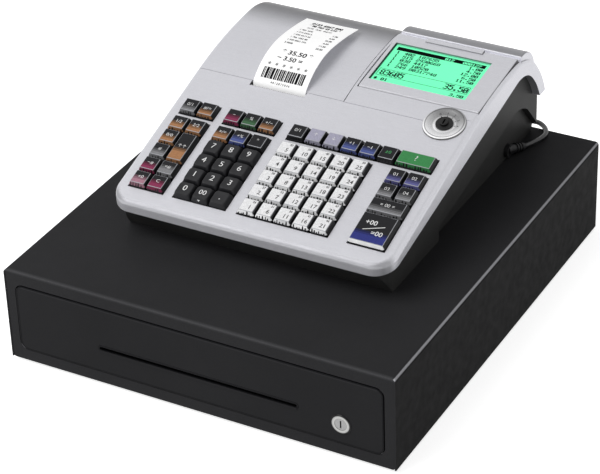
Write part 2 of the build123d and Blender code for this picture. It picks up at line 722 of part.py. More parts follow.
def drawer_pan():
    """Sheet-steel pan with side flanges, tray ledges, roller pins and the latch striker."""
    half = PAN_WIDTH / 2
    outer = block(-half, half, PAN_FRONT_Y, PAN_REAR_Y, PAN_FLOOR_Z, PAN_TOP_Z)
    inner = block(-half + PAN_WALL, half - PAN_WALL, PAN_FRONT_Y + PAN_WALL, PAN_REAR_Y - PAN_WALL,
                  PAN_FLOOR_Z + PAN_WALL, PAN_TOP_Z + 1)
    pan = outer - inner
    flange_half = PANEL_WIDTH / 2 - FLANGE_END_GAP
    for side in (-1, 1):
        x0, x1 = sorted((side * half, side * flange_half))
        pan += block(x0, x1, PAN_FRONT_Y, PAN_REAR_Y, FLANGE_Z, FLANGE_Z + PAN_WALL)
        l0, l1 = sorted((side * (half - PAN_WALL), side * (half - PAN_WALL - LEDGE_WIDTH)))
        pan += block(l0, l1, PAN_FRONT_Y + PAN_WALL, PAN_REAR_Y - PAN_WALL,
                     TRAY_FLOOR_Z - PAN_WALL, TRAY_FLOOR_Z)
        p0, p1 = sorted((side * half, side * (RAIL_INNER_X + ROLLER_WIDTH + FLANGE_END_GAP)))
        pan += rod_x(p0, p1, DRAWER_ROLLER_Y, RAIL_CENTRE_Z, ROLLER_PIN_R)
    reach = PAN_REAR_Y + STRIKER_REACH
    width = STRIKER_HALF_WIDTH
    pan += block(-width, width, PAN_REAR_Y - PAN_WALL, reach, STRIKER_Z, STRIKER_Z + STRIKER_THICKNESS)
    pan += block(-width, width, reach - STRIKER_THICKNESS, reach, STRIKER_Z, STRIKER_Z + STRIKER_LIP)
    return pan


def tray_limits():
    """Outer limits of the till tray in X and Y."""
    half = PAN_WIDTH / 2 - PAN_WALL - TRAY_SIDE_GAP
    y0 = PAN_FRONT_Y + PAN_WALL + TRAY_SIDE_GAP
    y1 = PAN_REAR_Y - PAN_WALL - TRAY_SIDE_GAP
    return half, y0, y1


def tray_columns():
    """Centres and width of the tray's columns."""
    half = tray_limits()[0]
    width = (2 * half - TRAY_WALL * (TRAY_COLUMNS + 1)) / TRAY_COLUMNS
    first = -half + TRAY_WALL + width / 2
    return [first + i * (width + TRAY_WALL) for i in range(TRAY_COLUMNS)], width


def till_tray():
    """Plastic tray: coin cups in front, note bays behind."""
    half, y0, y1 = tray_limits()
    tray = block(-half, half, y0, y1, TRAY_FLOOR_Z, TRAY_TOP_Z)
    centres, width = tray_columns()
    pocket_z = TRAY_FLOOR_Z + TRAY_WALL
    for x in centres:
        for row in range(COIN_ROWS):
            c0 = y0 + TRAY_WALL + row * (COIN_DEPTH + TRAY_WALL)
            cup = block(x - width / 2, x + width / 2, c0, c0 + COIN_DEPTH, pocket_z, TRAY_TOP_Z + 1)
            scoop = cup.edges().filter_by(Axis.X).group_by(Axis.Z)[0]
            tray -= fillet(scoop, COIN_DEPTH / 3)
        n0 = y0 + TRAY_WALL + COIN_ROWS * (COIN_DEPTH + TRAY_WALL)
        tray -= block(x - width / 2, x + width / 2, n0, y1 - TRAY_WALL, pocket_z, TRAY_TOP_Z + 1)
    rod_y_place = y1 - CLIP_ROD_INSET
    tray -= rod_x(-half - 1, half + 1, rod_y_place, rod_height(), CLIP_ROD_R + RUNNING_GAP)
    return tray


def rod_height():
    """Height of the note clips' rod."""
    return TRAY_TOP_Z - CLIP_HUB_R - CLIP_ROD_DROP


def clip_rod():
    """Steel rod that carries the note clips."""
    half, _, y1 = tray_limits()
    return rod_x(-half, half, y1 - CLIP_ROD_INSET, rod_height(), CLIP_ROD_R)


def note_clips():
    """Four clips that hold the notes down."""
    _, _, y1 = tray_limits()
    y = y1 - CLIP_ROD_INSET
    z = rod_height()
    centres, _ = tray_columns()
    top = z + CLIP_HUB_R
    bend_y = y - CLIP_FLAT
    tip_y = y - CLIP_LENGTH
    tip_z = z - CLIP_DROP
    end = (tip_y - CLIP_TIP, tip_z + CLIP_TIP_RISE)
    upper = [(y, top), (bend_y, top), (tip_y, tip_z), end]
    lower = [(py, pz - CLIP_THICKNESS) for py, pz in reversed(upper)]
    arm = make_face(Polyline(*upper, *lower, close=True))
    solids = []
    for x in centres:
        clip = side_prism(arm, x - CLIP_WIDTH / 2, x + CLIP_WIDTH / 2)
        clip += rod_x(x - CLIP_WIDTH / 2, x + CLIP_WIDTH / 2, y, z, CLIP_HUB_R)
        solids.append(clip - rod_x(x - CLIP_WIDTH, x + CLIP_WIDTH, y, z, CLIP_ROD_R + RUNNING_GAP))
    return group(solids)


def lock_barrel():
    """Nickel-plated ring and barrel of the drawer lock."""
    z = CASE_BOTTOM + LOCK_Z
    front = CASE_FRONT_Y - LOCK_PROUD
    ring = rod_y(front, CASE_FRONT_Y, LOCK_X, z, LOCK_RADIUS)
    ring = chamfer(ring.faces().sort_by(Axis.Y)[0].edges(), LOCK_CHAMFER)
    ring += rod_y(CASE_FRONT_Y, CASE_FRONT_Y + LOCK_LENGTH, LOCK_X, z, BARREL_RADIUS)
    return ring - rod_y(front - 1, CASE_FRONT_Y + LOCK_LENGTH + 1, LOCK_X, z, PLUG_RADIUS + RUNNING_GAP)


def lock_plug():
    """Keyed plug with the cam that locks behind the frame's lower bar."""
    z = CASE_BOTTOM + LOCK_Z
    front = CASE_FRONT_Y - LOCK_PROUD + PLUG_SET_BACK
    back = CASE_FRONT_Y + LOCK_LENGTH + FIT_GAP
    plug = rod_y(front, back + CAM_THICKNESS, LOCK_X, z, PLUG_RADIUS)
    plug -= block(LOCK_X - KEYWAY_WIDTH / 2, LOCK_X + KEYWAY_WIDTH / 2, front - 1, front + KEYWAY_DEPTH,
                  z - KEYWAY_HEIGHT / 2, z + KEYWAY_HEIGHT / 2)
    cam = block(LOCK_X - CAM_LENGTH, LOCK_X, back, back + CAM_THICKNESS, z - CAM_WIDTH / 2, z + CAM_WIDTH / 2)
    return plug + cam


def latch_hook():
    """Hook above the striker; it drops in front of the striker's upturned end."""
    tip_y = PAN_REAR_Y + HOOK_TIP
    width = HOOK_HALF_WIDTH
    hook = block(-width, width, tip_y, LATCH_PIVOT_Y, LATCH_PIVOT_Z - HOOK_HALF_HEIGHT,
                 LATCH_PIVOT_Z + HOOK_HALF_HEIGHT)
    hook += block(-width, width, tip_y, tip_y + HOOK_TIP, STRIKER_Z + HOOK_LIFT, LATCH_PIVOT_Z)
    hook += rod_x(-width, width, LATCH_PIVOT_Y, LATCH_PIVOT_Z, HOOK_BOSS_R)
    return hook - rod_x(-width - 1, width + 1, LATCH_PIVOT_Y, LATCH_PIVOT_Z, HOOK_PIN_R + RUNNING_GAP)


def latch_solenoid():
    """Solenoid frame with coil, bolted to the base plate, and the hook's pivot pin."""
    z0 = CASE_BOTTOM + CASE_WALL
    rear = CASE_REAR_Y - CASE_WALL
    plate = SOLENOID_PLATE
    frame = block(-SOLENOID_HALF_WIDTH, SOLENOID_HALF_WIDTH, rear - plate, rear, z0, SOLENOID_TOP)
    for side in (-1, 1):
        x0, x1 = sorted((side * CHEEK_INNER, side * (CHEEK_INNER + plate)))
        frame += block(x0, x1, LATCH_PIVOT_Y - CHEEK_LENGTH, rear - plate, LATCH_PIVOT_Z - CHEEK_DROP,
                       LATCH_PIVOT_Z + CHEEK_RISE)
    pin = CHEEK_INNER + plate
    frame += rod_x(-pin, pin, LATCH_PIVOT_Y, LATCH_PIVOT_Z, HOOK_PIN_R)
    coil = rod_z(z0, SOLENOID_COIL_TOP, 0, LATCH_PIVOT_Y + plate, SOLENOID_COIL_R)
    return group([frame, coil])


def eject_spring():
    """Compressed spring that pushes the drawer out."""
    length = CASE_REAR_Y - CASE_WALL - PAN_REAR_Y - FIT_GAP - 2 * SPRING_WIRE_R
    helix = Helix(pitch=length / SPRING_TURNS, height=length, radius=SPRING_RADIUS)
    start = Plane(origin=helix @ 0, z_dir=helix % 0)
    coil = sweep(start * Circle(SPRING_WIRE_R), path=helix, is_frenet=True)
    return Pos(SPRING_X, CASE_REAR_Y - CASE_WALL - SPRING_WIRE_R, SPRING_Z) * Rot(90, 0, 0) * coil


# ------------------------------------------------------------------ keyboard
def window(centre_x, columns, top_s, rows):
    """Limits of a key window on the keyboard plane."""
    half = columns * KEY_PITCH / 2 + WINDOW_CLEARANCE
    return (centre_x - half, centre_x + half, top_s - rows * KEY_PITCH - WINDOW_CLEARANCE,
            top_s + WINDOW_CLEARANCE)


TOP_ROW_TOP_S = TOP_ROW_S + KEY_PITCH / 2
WINDOWS = [
    window(LEFT_KEYS_X, 2, TOP_ROW_TOP_S, 1),
    window(NUMBER_KEYS_X, 3, TOP_ROW_TOP_S, 1),
    window(TOP_KEYS_X, 8, TOP_ROW_TOP_S, 1),
    window(LEFT_KEYS_X, 2, BLOCK_TOP_S, 5),
    window(NUMBER_KEYS_X, 3, BLOCK_TOP_S, 5),
    window(DEPARTMENT_KEYS_X, 5, BLOCK_TOP_S, 5),
    window(RIGHT_KEYS_X, 2, BLOCK_TOP_S, 5),
]


def cell(centre_x, columns, column, row, wide=1, high=1):
    """Centre and size of a key; row 0 is the top row, rows 1 to 5 the block below."""
    x = centre_x + (column + (wide - columns) / 2) * KEY_PITCH
    if row == 0:
        s = TOP_ROW_S
    else:
        s = BLOCK_TOP_S - (row - 1 + high / 2) * KEY_PITCH
    return x, s, wide * KEY_PITCH - KEY_GAP, high * KEY_PITCH - KEY_GAP


def key_cells():
    """Every key, listed under the node that holds it."""
    left, number = LEFT_KEYS_X, NUMBER_KEYS_X
    department, top, right = DEPARTMENT_KEYS_X, TOP_KEYS_X, RIGHT_KEYS_X
    top_keys = [cell(left, 2, c, 0) for c in range(2)] + [cell(number, 3, c, 0) for c in range(3)]
    top_keys += [cell(top, 8, c, 0) for c in range(6)]
    left_places = [(0, 1), (1, 1), (0, 2), (0, 3), (0, 4), (1, 4), (0, 5), (1, 5)]
    cells = {
        "function_keys_top": top_keys,
        "help_key": [cell(top, 8, 6, 0, wide=2)],
        "function_keys_left": [cell(left, 2, c, r) for c, r in left_places],
        "receipt_key": [cell(left, 2, 1, 2, high=2)],
        "function_keys_numeric": [cell(number, 3, c, 1) for c in range(3)],
        "function_keys_right": [cell(right, 2, c, r) for r in (1, 2) for c in range(2)],
        "subtotal_key": [cell(right, 2, 0, 3, wide=2)],
        "cash_key": [cell(right, 2, 0, 4, wide=2, high=2)],
    }
    for row in range(2, 6):
        cells[f"number_keys_row_{row - 1}"] = [cell(number, 3, c, row) for c in range(3)]
    for row in range(1, 6):
        cells[f"department_keys_row_{row}"] = [cell(department, 5, c, row) for c in range(5)]
    return cells


def key(x, s, width, height):
    """Keytop with a straight skirt, a tapered head and a stem, on the keyboard plane."""
    outline = RectangleRounded(width, height, KEY_CORNER_R)
    skirt = extrude(outline, KEY_SHOULDER + KEY_SKIRT_DEPTH)
    head = extrude(outline, KEY_PROUD - KEY_SHOULDER, taper=KEY_TAPER)
    stem = rod_z(-STEM_BOTTOM, -KEY_SKIRT_DEPTH, x, s, STEM_RADIUS)
    keytop = Pos(x, s, -KEY_SKIRT_DEPTH) * skirt + Pos(x, s, KEY_SHOULDER) * head + stem
    return KEYBOARD.location * keytop


def all_stems():
    """Centres of every key stem."""
    return [(x, s) for cells in key_cells().values() for x, s, _, _ in cells]


def key_frame():
    """Guide plate under the keys, with side walls that carry the keyboard board."""
    half = KEY_AREA_HALF_WIDTH
    s0, s1 = KEY_AREA_BOTTOM_S, KEY_AREA_TOP_S
    plate = block(-half, half, s0, s1, -FRAME_TOP_DEPTH - FRAME_PLATE, -FRAME_TOP_DEPTH)
    board_top = -(MAT_TOP_DEPTH + MAT_PLATE)
    outer = block(-half, half, s0, s1, board_top, -SHELL)
    wall = KEY_AREA_WALL
    inner = block(-half + wall, half - wall, s0 + wall, s1 - wall, board_top - 1, 0)
    frame = plate + (outer - inner)
    holes = [rod_z(-FRAME_TOP_DEPTH - FRAME_PLATE - 1, -FRAME_TOP_DEPTH + 1, x, s,
                   STEM_RADIUS + RUNNING_GAP) for x, s in all_stems()]
    return (KEYBOARD.location * (frame - holes)) & base_block(SHELL)


def key_mat():
    """Rubber sheet with a collapsing dome around each stem."""
    margin = KEY_AREA_WALL + MAT_MARGIN
    half = KEY_AREA_HALF_WIDTH - margin
    low = -(MAT_TOP_DEPTH + MAT_PLATE)
    top = -MAT_TOP_DEPTH
    sheet = block(-half, half, KEY_AREA_BOTTOM_S + margin, KEY_AREA_TOP_S - margin, low, top)
    domes = []
    bores = []
    for x, s in all_stems():
        domes.append(rod_z(top - MAT_PLATE / 2, top + DOME_HEIGHT, x, s, DOME_OUTER_R))
        bores.append(rod_z(low - 1, top + DOME_HEIGHT + 1, x, s, DOME_INNER_R))
    return KEYBOARD.location * (sheet + domes - bores)


def keyboard_board():
    """Printed circuit board under the mat."""
    top = -(MAT_TOP_DEPTH + MAT_PLATE)
    half = KEY_AREA_HALF_WIDTH
    board = block(-half, half, KEY_AREA_BOTTOM_S, KEY_AREA_TOP_S, top - BOARD_PLATE, top)
    return (KEYBOARD.location * board) & base_block(SHELL)


# ------------------------------------------------------------------ key switch
def mode_switch_ring():
    """Dished ring with the switch barrel below it."""
    ring = rod_z(-SWITCH_RING_SEAT, SWITCH_RING_PROUD, SWITCH_X, SWITCH_S, SWITCH_RING_R)
    ring = fillet(ring.edges().sort_by(Axis.Z)[-1:], SWITCH_RING_EDGE_R)
    ring += rod_z(-SWITCH_BARREL_DEPTH, -SWITCH_RING_SEAT, SWITCH_X, SWITCH_S, SWITCH_BARREL_R)
    dish_z = SWITCH_RING_PROUD + SWITCH_DISH_R - SWITCH_DISH_DEPTH
    dish = Pos(SWITCH_X, SWITCH_S, dish_z) * Sphere(SWITCH_DISH_R)
    bore = rod_z(-SWITCH_BARREL_DEPTH - 1, 5, SWITCH_X, SWITCH_S, SWITCH_ROTOR_R + RUNNING_GAP)
    return KEYBOARD.location * (ring - dish - bore)


def mode_switch_rotor():
    """Turning core of the key switch with its key slot."""
    rotor = rod_z(-SWITCH_BARREL_DEPTH, SWITCH_RING_PROUD, SWITCH_X, SWITCH_S, SWITCH_ROTOR_R)
    boss = rod_z(SWITCH_RING_PROUD, SWITCH_RING_PROUD + ROTOR_BOSS_HEIGHT, SWITCH_X, SWITCH_S, ROTOR_BOSS_R)
    rotor += fillet(boss.edges().sort_by(Axis.Z)[-1:], ROTOR_BOSS_EDGE_R)
    half_w, half_l = KEY_SLOT_HALF_WIDTH, KEY_SLOT_HALF_LENGTH
    slot = block(SWITCH_X - half_w, SWITCH_X + half_w, SWITCH_S - half_l, SWITCH_S + half_l,
                 -KEY_SLOT_DEPTH, KEY_SLOT_DEPTH)
    return KEYBOARD.location * (rotor - slot)


# ------------------------------------------------------------------ register shells
def slab(x0, x1, y0, y1):
    """Tall block over the register, between the given limits in plan."""
    return block(x0, x1, y0, y1, CASE_TOP - 5, CASE_TOP + 2 * KNEE_HEIGHT)


def silver_shell():
    """Complete upper shell before the printer cover is parted from it."""
    outer = body_block(0)
    crown = outer.faces().filter_by(lambda f: f.normal_at().Z > 0.5)
    rim_edges = [e for e in crown.edges() if len([f for f in crown if e in f.edges()]) == 1]
    outer = fillet(rim_edges, BODY_EDGE_R)
    cavity = body_block(SHELL)
    well_half = BASE_HALF_WIDTH - SHELL
    well = slab(-well_half, well_half, BASE_NOSE_Y + WELL_FRONT_INSET,
                BASE_REAR_TOP_Y - SHELL - WELL_REAR_INSET)
    shell = outer - rim_region(0) - (cavity - rim_region(SHELL)) - (cavity & well)
    return shell


def display_bay():
    """Walls and floor of the bay that the tilting display lies in, parallel to the display."""
    x0 = DISPLAY_LEFT_X - DISPLAY_GAP
    x1 = DISPLAY_RIGHT_X + DISPLAY_GAP
    y0 = -DISPLAY_GAP
    y1 = DISPLAY_DEPTH + DISPLAY_REAR_GAP
    floor = -DISPLAY_THICKNESS - DISPLAY_BAY_GAP
    top = KNEE_HEIGHT
    outer = block(x0 - BAY_WALL, x1 + BAY_WALL / 2, y0 - BAY_WALL, y1 + 2 * BAY_WALL, floor - BAY_WALL, top)
    inner = block(x0, x1, y0, y1, floor, top + 1)
    return DISPLAY.location * outer, DISPLAY.location * inner


def popup_well():
    """Stepped shaft that the rear display sinks into, and the hole for its post."""
    cap = popup_limits(POPUP_GAP)
    core = popup_core_limits(POPUP_GAP)
    top = CASE_TOP + 2 * KNEE_HEIGHT
    shelf = CASE_TOP + POPUP_CAP_BOTTOM - POPUP_GAP
    floor = CASE_TOP + POPUP_BOTTOM - POPUP_GAP
    wall = BAY_WALL
    outer = block(cap[0] - wall, cap[1] + wall, cap[2] - wall, cap[3] + wall, shelf - wall, top)
    outer += block(core[0] - wall, core[1] + wall, core[2] - wall, core[3] + wall, floor - wall, top)
    inner = block(*cap, shelf, top + 1) + block(*core, floor, top + 1)
    inner += rod_z(floor - wall - 1, floor + 1, popup_x(), popup_y(), POPUP_POST_R + POPUP_GAP)
    return outer, inner


def popup_limits(gap):
    """Plan limits of the rear display's cap, widened by gap."""
    return POPUP_LEFT_X - gap, POPUP_RIGHT_X + gap, POPUP_FRONT_Y - gap, POPUP_REAR_Y + gap


def popup_core_limits(gap):
    """Plan limits of the narrower body below the cap, widened by gap."""
    half = POPUP_CORE_WIDTH / 2 + gap
    step = POPUP_CORE_STEP - gap
    return popup_x() - half, popup_x() + half, POPUP_FRONT_Y + step, POPUP_REAR_Y - step


def popup_x():
    """Centre of the rear display in X."""
    return (POPUP_LEFT_X + POPUP_RIGHT_X) / 2


def popup_y():
    """Centre of the rear display in Y."""
    return (POPUP_FRONT_Y + POPUP_REAR_Y) / 2


def display_hinge_place():
    """Hinge axis of the display as (y, z)."""
    point = DISPLAY.from_local_coords(Vector(0, DISPLAY_HINGE_R, -DISPLAY_HINGE_R))
    return point.Y, point.Z


def shell_grooves():
    """Narrow grooves around the name strip and beside the key switch."""
    depth = GROOVE_DEPTH
    above = DISPLAY_THICKNESS
    s0 = KNEE_Y / math.cos(SLOPE)
    s1 = (DISPLAY_FRONT_Y - DISPLAY_GAP) / math.cos(SLOPE)
    ring_left = SWITCH_X - SWITCH_RING_R + GROOVE_RING_LAP
    ring_right = SWITCH_X + SWITCH_RING_R - GROOVE_RING_LAP
    rise = s0 + GROOVE_RISE
    low = block(SPLIT_X, ring_left, s0 - GROOVE_WIDTH, s0, -depth, above)
    right = block(ring_right, BODY_HALF_WIDTH - BODY_EDGE_R, rise, rise + GROOVE_WIDTH, -depth, above)
    side = block(SPLIT_X, SPLIT_X + GROOVE_WIDTH, s0, s1, -depth, above)
    return KEYBOARD.location * (low + right + side)


def upper_case(shell):
    """Silver upper case with key windows, outlet, display bay and rear display well."""
    case = shell - slab(-BODY_HALF_WIDTH - 5, SPLIT_X, KNEE_Y, BASE_REAR_Y + OUTLINE_MARGIN)
    bay_outer, bay_inner = display_bay()
    well_outer, well_inner = popup_well()
    trim = body_block(SHELL / 2)
    case = case + (bay_outer & trim) - bay_inner
    case = case + ((well_outer & trim) - bay_inner) - well_inner
    windows = [block(x0, x1, s0, s1, -SHELL - 1, 5) for x0, x1, s0, s1 in WINDOWS]
    case -= [KEYBOARD.location * opening for opening in windows]
    seat_r = SWITCH_RING_R + 2 * RUNNING_GAP
    case -= KEYBOARD.location * rod_z(-SWITCH_RING_SEAT, 2 * SHELL, SWITCH_X, SWITCH_S, seat_r)
    barrel_r = SWITCH_BARREL_R + FIT_GAP
    case -= KEYBOARD.location * rod_z(-2 * SHELL, 2 * SHELL, SWITCH_X, SWITCH_S, barrel_r)
    half = PAPER_WIDTH / 2 + OUTLET_MARGIN
    case -= slab(PAPER_X - half, PAPER_X + half, OUTLET_FRONT_Y, KNEE_Y + 1)
    case -= shell_grooves()
    y, z = display_hinge_place()
    x0 = DISPLAY_LEFT_X - DISPLAY_GAP
    x1 = DISPLAY_RIGHT_X + DISPLAY_GAP
    case += rod_x(x0 - BAY_WALL / 2, x0 + HINGE_PIN_REACH, y, z, HINGE_PIN_R)
    case += rod_x(x1 - HINGE_PIN_REACH, x1 + BAY_WALL / 2, y, z, HINGE_PIN_R)
    return case


def printer_cover(shell):
    """Silver cover over the printer, hinged low at the rear."""
    rear_y = BASE_REAR_Y + OUTLINE_MARGIN
    cover = shell & slab(-BODY_HALF_WIDTH - 5, SPLIT_X - COVER_GAP, KNEE_Y + COVER_GAP, rear_y)
    z = CASE_TOP + COVER_AXIS_HEIGHT
    reach = KNUCKLE_R + KNUCKLE_SWING_GAP
    bay_y = COVER_AXIS_Y - HINGE_BAY_DEPTH
    cover -= rim_region(FIT_GAP)
    cover -= block(-BODY_HALF_WIDTH - 5, SPLIT_X, bay_y, rear_y, CASE_TOP, RIM_REAR_Z + COVER_REAR_LIFT)
    cover += paper_guide()
    for x in LUG_XS:
        half = LUG_WIDTH / 2 + FIT_GAP
        cover -= block(x - half, x + half, bay_y, rear_y, CASE_TOP, z + reach)
        for x0, x1 in knuckle_spans(x):
            knuckle = rod_x(x0, x1, COVER_AXIS_Y, z, KNUCKLE_R)
            cover += knuckle
            cover -= rod_x(x0 - 1, x1 + 1, COVER_AXIS_Y, z, HINGE_PIN_R + RUNNING_GAP)
    return cover


def paper_guide():
    """Lip under the cover's front edge that the receipt runs along."""
    low = CASE_TOP + PLATEN_HEIGHT + PLATEN_RADIUS + GUIDE_GAP
    x0, x1 = PAPER_X - PAPER_WIDTH / 2, PAPER_X + PAPER_WIDTH / 2
    edge_y = KNEE_Y + COVER_GAP
    lip = block(x0, x1, PAPER_START_Y + PAPER_THICKNESS, edge_y + SHELL, low, low + GUIDE_THICKNESS)
    return lip + block(x0, x1, edge_y, edge_y + 2 * SHELL, low, CASE_TOP + KNEE_HEIGHT - SHELL + 0.5)


def knuckle_spans(x):
    """The cover's knuckles on both sides of a lug at x."""
    inner = LUG_WIDTH / 2 + FIT_GAP
    return ((x - inner - KNUCKLE_WIDTH, x - inner), (x + inner, x + inner + KNUCKLE_WIDTH))


def lower_case():
    """Dark lower case with the cover's hinge lugs, the rear display's sleeve and mounting bosses."""
    case = base_block(0) - base_block(SHELL)
    case = case & rim_region(0)
    z = CASE_TOP + COVER_AXIS_HEIGHT
    for x in LUG_XS:
        x0, x1 = x - LUG_WIDTH / 2, x + LUG_WIDTH / 2
        case += block(x0, x1, COVER_AXIS_Y - KNUCKLE_R, BASE_REAR_TOP_Y - RUNNING_GAP,
                      CASE_TOP + LUG_BOTTOM, z)
        case += rod_x(x0, x1, COVER_AXIS_Y, z, KNUCKLE_R)
        pin = LUG_WIDTH / 2 + FIT_GAP + KNUCKLE_WIDTH
        case += rod_x(x - pin, x + pin, COVER_AXIS_Y, z, HINGE_PIN_R)
    floor_top = CASE_TOP + SHELL
    sleeve = rod_z(floor_top - 1, CASE_TOP + SLEEVE_TOP, popup_x(), popup_y(),
                   POPUP_POST_R + RUNNING_GAP + SLEEVE_WALL)
    sleeve -= rod_z(floor_top, CASE_TOP + SLEEVE_TOP + 1, popup_x(), popup_y(), POPUP_POST_R + RUNNING_GAP)
    case += sleeve
    for x, y in board_posts():
        case += rod_z(floor_top - 1, floor_top + BOARD_POST_HEIGHT, x, y, BOARD_POST_R)
    return case


def board_posts():
    """Places of the main board's posts."""
    x0, x1, y0, y1 = MAIN_BOARD
    inset = BOARD_POST_INSET
    return [(x, y) for x in (x0 + inset, x1 - inset) for y in (y0 + inset, y1 - inset)]


def main_board():
    """Main circuit board with a few large components."""
    x0, x1, y0, y1 = MAIN_BOARD
    z = CASE_TOP + SHELL + BOARD_POST_HEIGHT
    board = block(x0, x1, y0, y1, z, z + BOARD_PLATE)
    top = z + BOARD_PLATE
    for x, y, w, d, h in COMPONENTS:
        board += block(x - w / 2, x + w / 2, y - d / 2, y + d / 2, top, top + h)
    return board


def power_transformer():
    """Mains transformer: laminated core with a coil."""
    z = CASE_TOP + SHELL
    half_w, half_d = CORE_WIDTH / 2, CORE_DEPTH / 2
    limb, gap = CORE_LIMB, BOBBIN_GAP
    core = block(-half_w, half_w, -half_d, half_d, z, z + CORE_HEIGHT)
    for x0, x1 in ((limb - half_w, -limb), (limb, half_w - limb)):
        core -= block(x0, x1, -half_d - 1, half_d + 1, z + limb, z + CORE_HEIGHT - limb)
    outer = half_w - limb - gap
    low, high = z + limb + gap, z + CORE_HEIGHT - limb - gap
    bobbin = block(-outer, outer, -BOBBIN_DEPTH / 2, BOBBIN_DEPTH / 2, low, high)
    bobbin -= block(-limb - gap, limb + gap, -half_d - gap, half_d + gap, z + limb, high + 1)
    return Pos(TRANSFORMER_X, TRANSFORMER_Y, 0) * group([core, bobbin])


# ------------------------------------------------------------------ displays
def display_bezel():
    """Tilting display housing, built on its own tilted plane."""
    body = block(DISPLAY_LEFT_X, DISPLAY_RIGHT_X, 0, DISPLAY_DEPTH, -DISPLAY_THICKNESS, 0)
    hinge_edge = body.edges().filter_by(Axis.X).group_by(Axis.Z)[-1].sort_by(Axis.Y)[:1]
    body = fillet(hinge_edge, DISPLAY_HINGE_R)
    rear_edge = body.edges().filter_by(Axis.X).group_by(Axis.Z)[-1].sort_by(Axis.Y)[-1:]
    body = fillet(rear_edge, DISPLAY_REAR_R)
    side_edges = body.edges().filter_by(Axis.Y).group_by(Axis.Z)[-1]
    body = fillet(side_edges, DISPLAY_SIDE_R)
    ridge = Box(NOTCH_RIGHT_X - NOTCH_LEFT_X, NOTCH_DEPTH, NOTCH_PROUD + NOTCH_SUNK)
    ridge = fillet(ridge.edges().group_by(Axis.Z)[-1], NOTCH_EDGE_R)
    ridge_y = DISPLAY_DEPTH - NOTCH_DEPTH / 2 - NOTCH_INSET
    body += Pos((NOTCH_LEFT_X + NOTCH_RIGHT_X) / 2, ridge_y, (NOTCH_PROUD - NOTCH_SUNK) / 2) * ridge
    wall = DISPLAY_WALL
    margin = wall + DISPLAY_FRAME
    hollow_front = 2 * DISPLAY_HINGE_R + HINGE_CLEARANCE
    body -= block(DISPLAY_LEFT_X + margin, DISPLAY_RIGHT_X - margin, hollow_front,
                  DISPLAY_DEPTH - margin, -DISPLAY_THICKNESS + wall, -wall)
    body -= block(LCD_LEFT_X, LCD_RIGHT_X, LCD_FRONT, LCD_REAR, -wall - 1, 5)
    bore = HINGE_PIN_R + RUNNING_GAP
    reach = HINGE_PIN_REACH + HINGE_CLEARANCE / 2
    left, right = DISPLAY_LEFT_X, DISPLAY_RIGHT_X
    for x0, x1 in ((left - 1, left + reach), (right - reach, right + 1)):
        body -= rod_x(x0, x1, DISPLAY_HINGE_R, -DISPLAY_HINGE_R, bore)
    return DISPLAY.location * body


def lcd_panel():
    """LCD glass and its backing under the window."""
    top = -DISPLAY_WALL
    front = max(LCD_FRONT - LCD_BORDER, 2 * DISPLAY_HINGE_R + HINGE_CLEARANCE + FIT_GAP)
    left = max(LCD_LEFT_X - LCD_BORDER, DISPLAY_LEFT_X + DISPLAY_WALL + DISPLAY_FRAME + FIT_GAP)
    glass = block(left, LCD_RIGHT_X + LCD_BORDER, front, LCD_REAR + LCD_BORDER, top - LCD_THICKNESS, top)
    return DISPLAY.location * glass


def customer_display():
    """Rear display: rounded cap over a narrower body with a window to the rear, on a sliding post."""
    x0, x1, front_y, rear_y = popup_limits(0)
    front_top = (front_y, CASE_TOP + POPUP_FRONT_TOP)
    rear_top = (rear_y, CASE_TOP + POPUP_REAR_TOP)
    crest = ((front_y + rear_y) / 2 - POPUP_CREST_SHIFT, CASE_TOP + POPUP_CREST)
    low = CASE_TOP + POPUP_CAP_BOTTOM
    edges = [
        ThreePointArc(front_top, crest, rear_top),
        Polyline(rear_top, (rear_y, low), (front_y, low), front_top),
    ]
    cap = side_prism(make_face(Curve() + edges), x0, x1)
    crown = cap.faces().filter_by(GeomType.CYLINDER)[0]
    cap = fillet(crown.edges(), POPUP_EDGE_R)
    floor = CASE_TOP + POPUP_BOTTOM
    body = cap + block(*popup_core_limits(0), floor, low)
    half = POPUP_WINDOW_W / 2
    sill = floor + POPUP_WINDOW_SILL
    pane_y = rear_y - POPUP_CORE_STEP - POPUP_WINDOW_DEPTH
    body -= block(popup_x() - half, popup_x() + half, pane_y, rear_y + 1, sill, sill + POPUP_WINDOW_H)
    return body + rod_z(CASE_TOP + POPUP_POST_BOTTOM, floor, popup_x(), popup_y(), POPUP_POST_R)


# ------------------------------------------------------------------ printer
PLATE_IN_X0 = PAPER_X - PAPER_WIDTH / 2 - PLATE_SIDE_GAP
PLATE_IN_X1 = PAPER_X + PAPER_WIDTH / 2 + PLATE_SIDE_GAP
GEAR_X0 = PLATE_IN_X1 + SIDE_PLATE + GEAR_SIDE_GAP
GEAR_X1 = GEAR_X0 + GEAR_WIDTH
MOTOR_FACE_X = GEAR_X1 + MOTOR_GAP
CENTRE_DISTANCE = GEAR_MODULE * (PLATEN_TEETH + PINION_TEETH) / 2 + GEAR_EXTRA_CENTRE
PINION_Y = PLATEN_Y + CENTRE_DISTANCE * math.cos(math.radians(GEAR_DIRECTION))
PINION_HEIGHT = PLATEN_HEIGHT + CENTRE_DISTANCE * math.sin(math.radians(GEAR_DIRECTION))


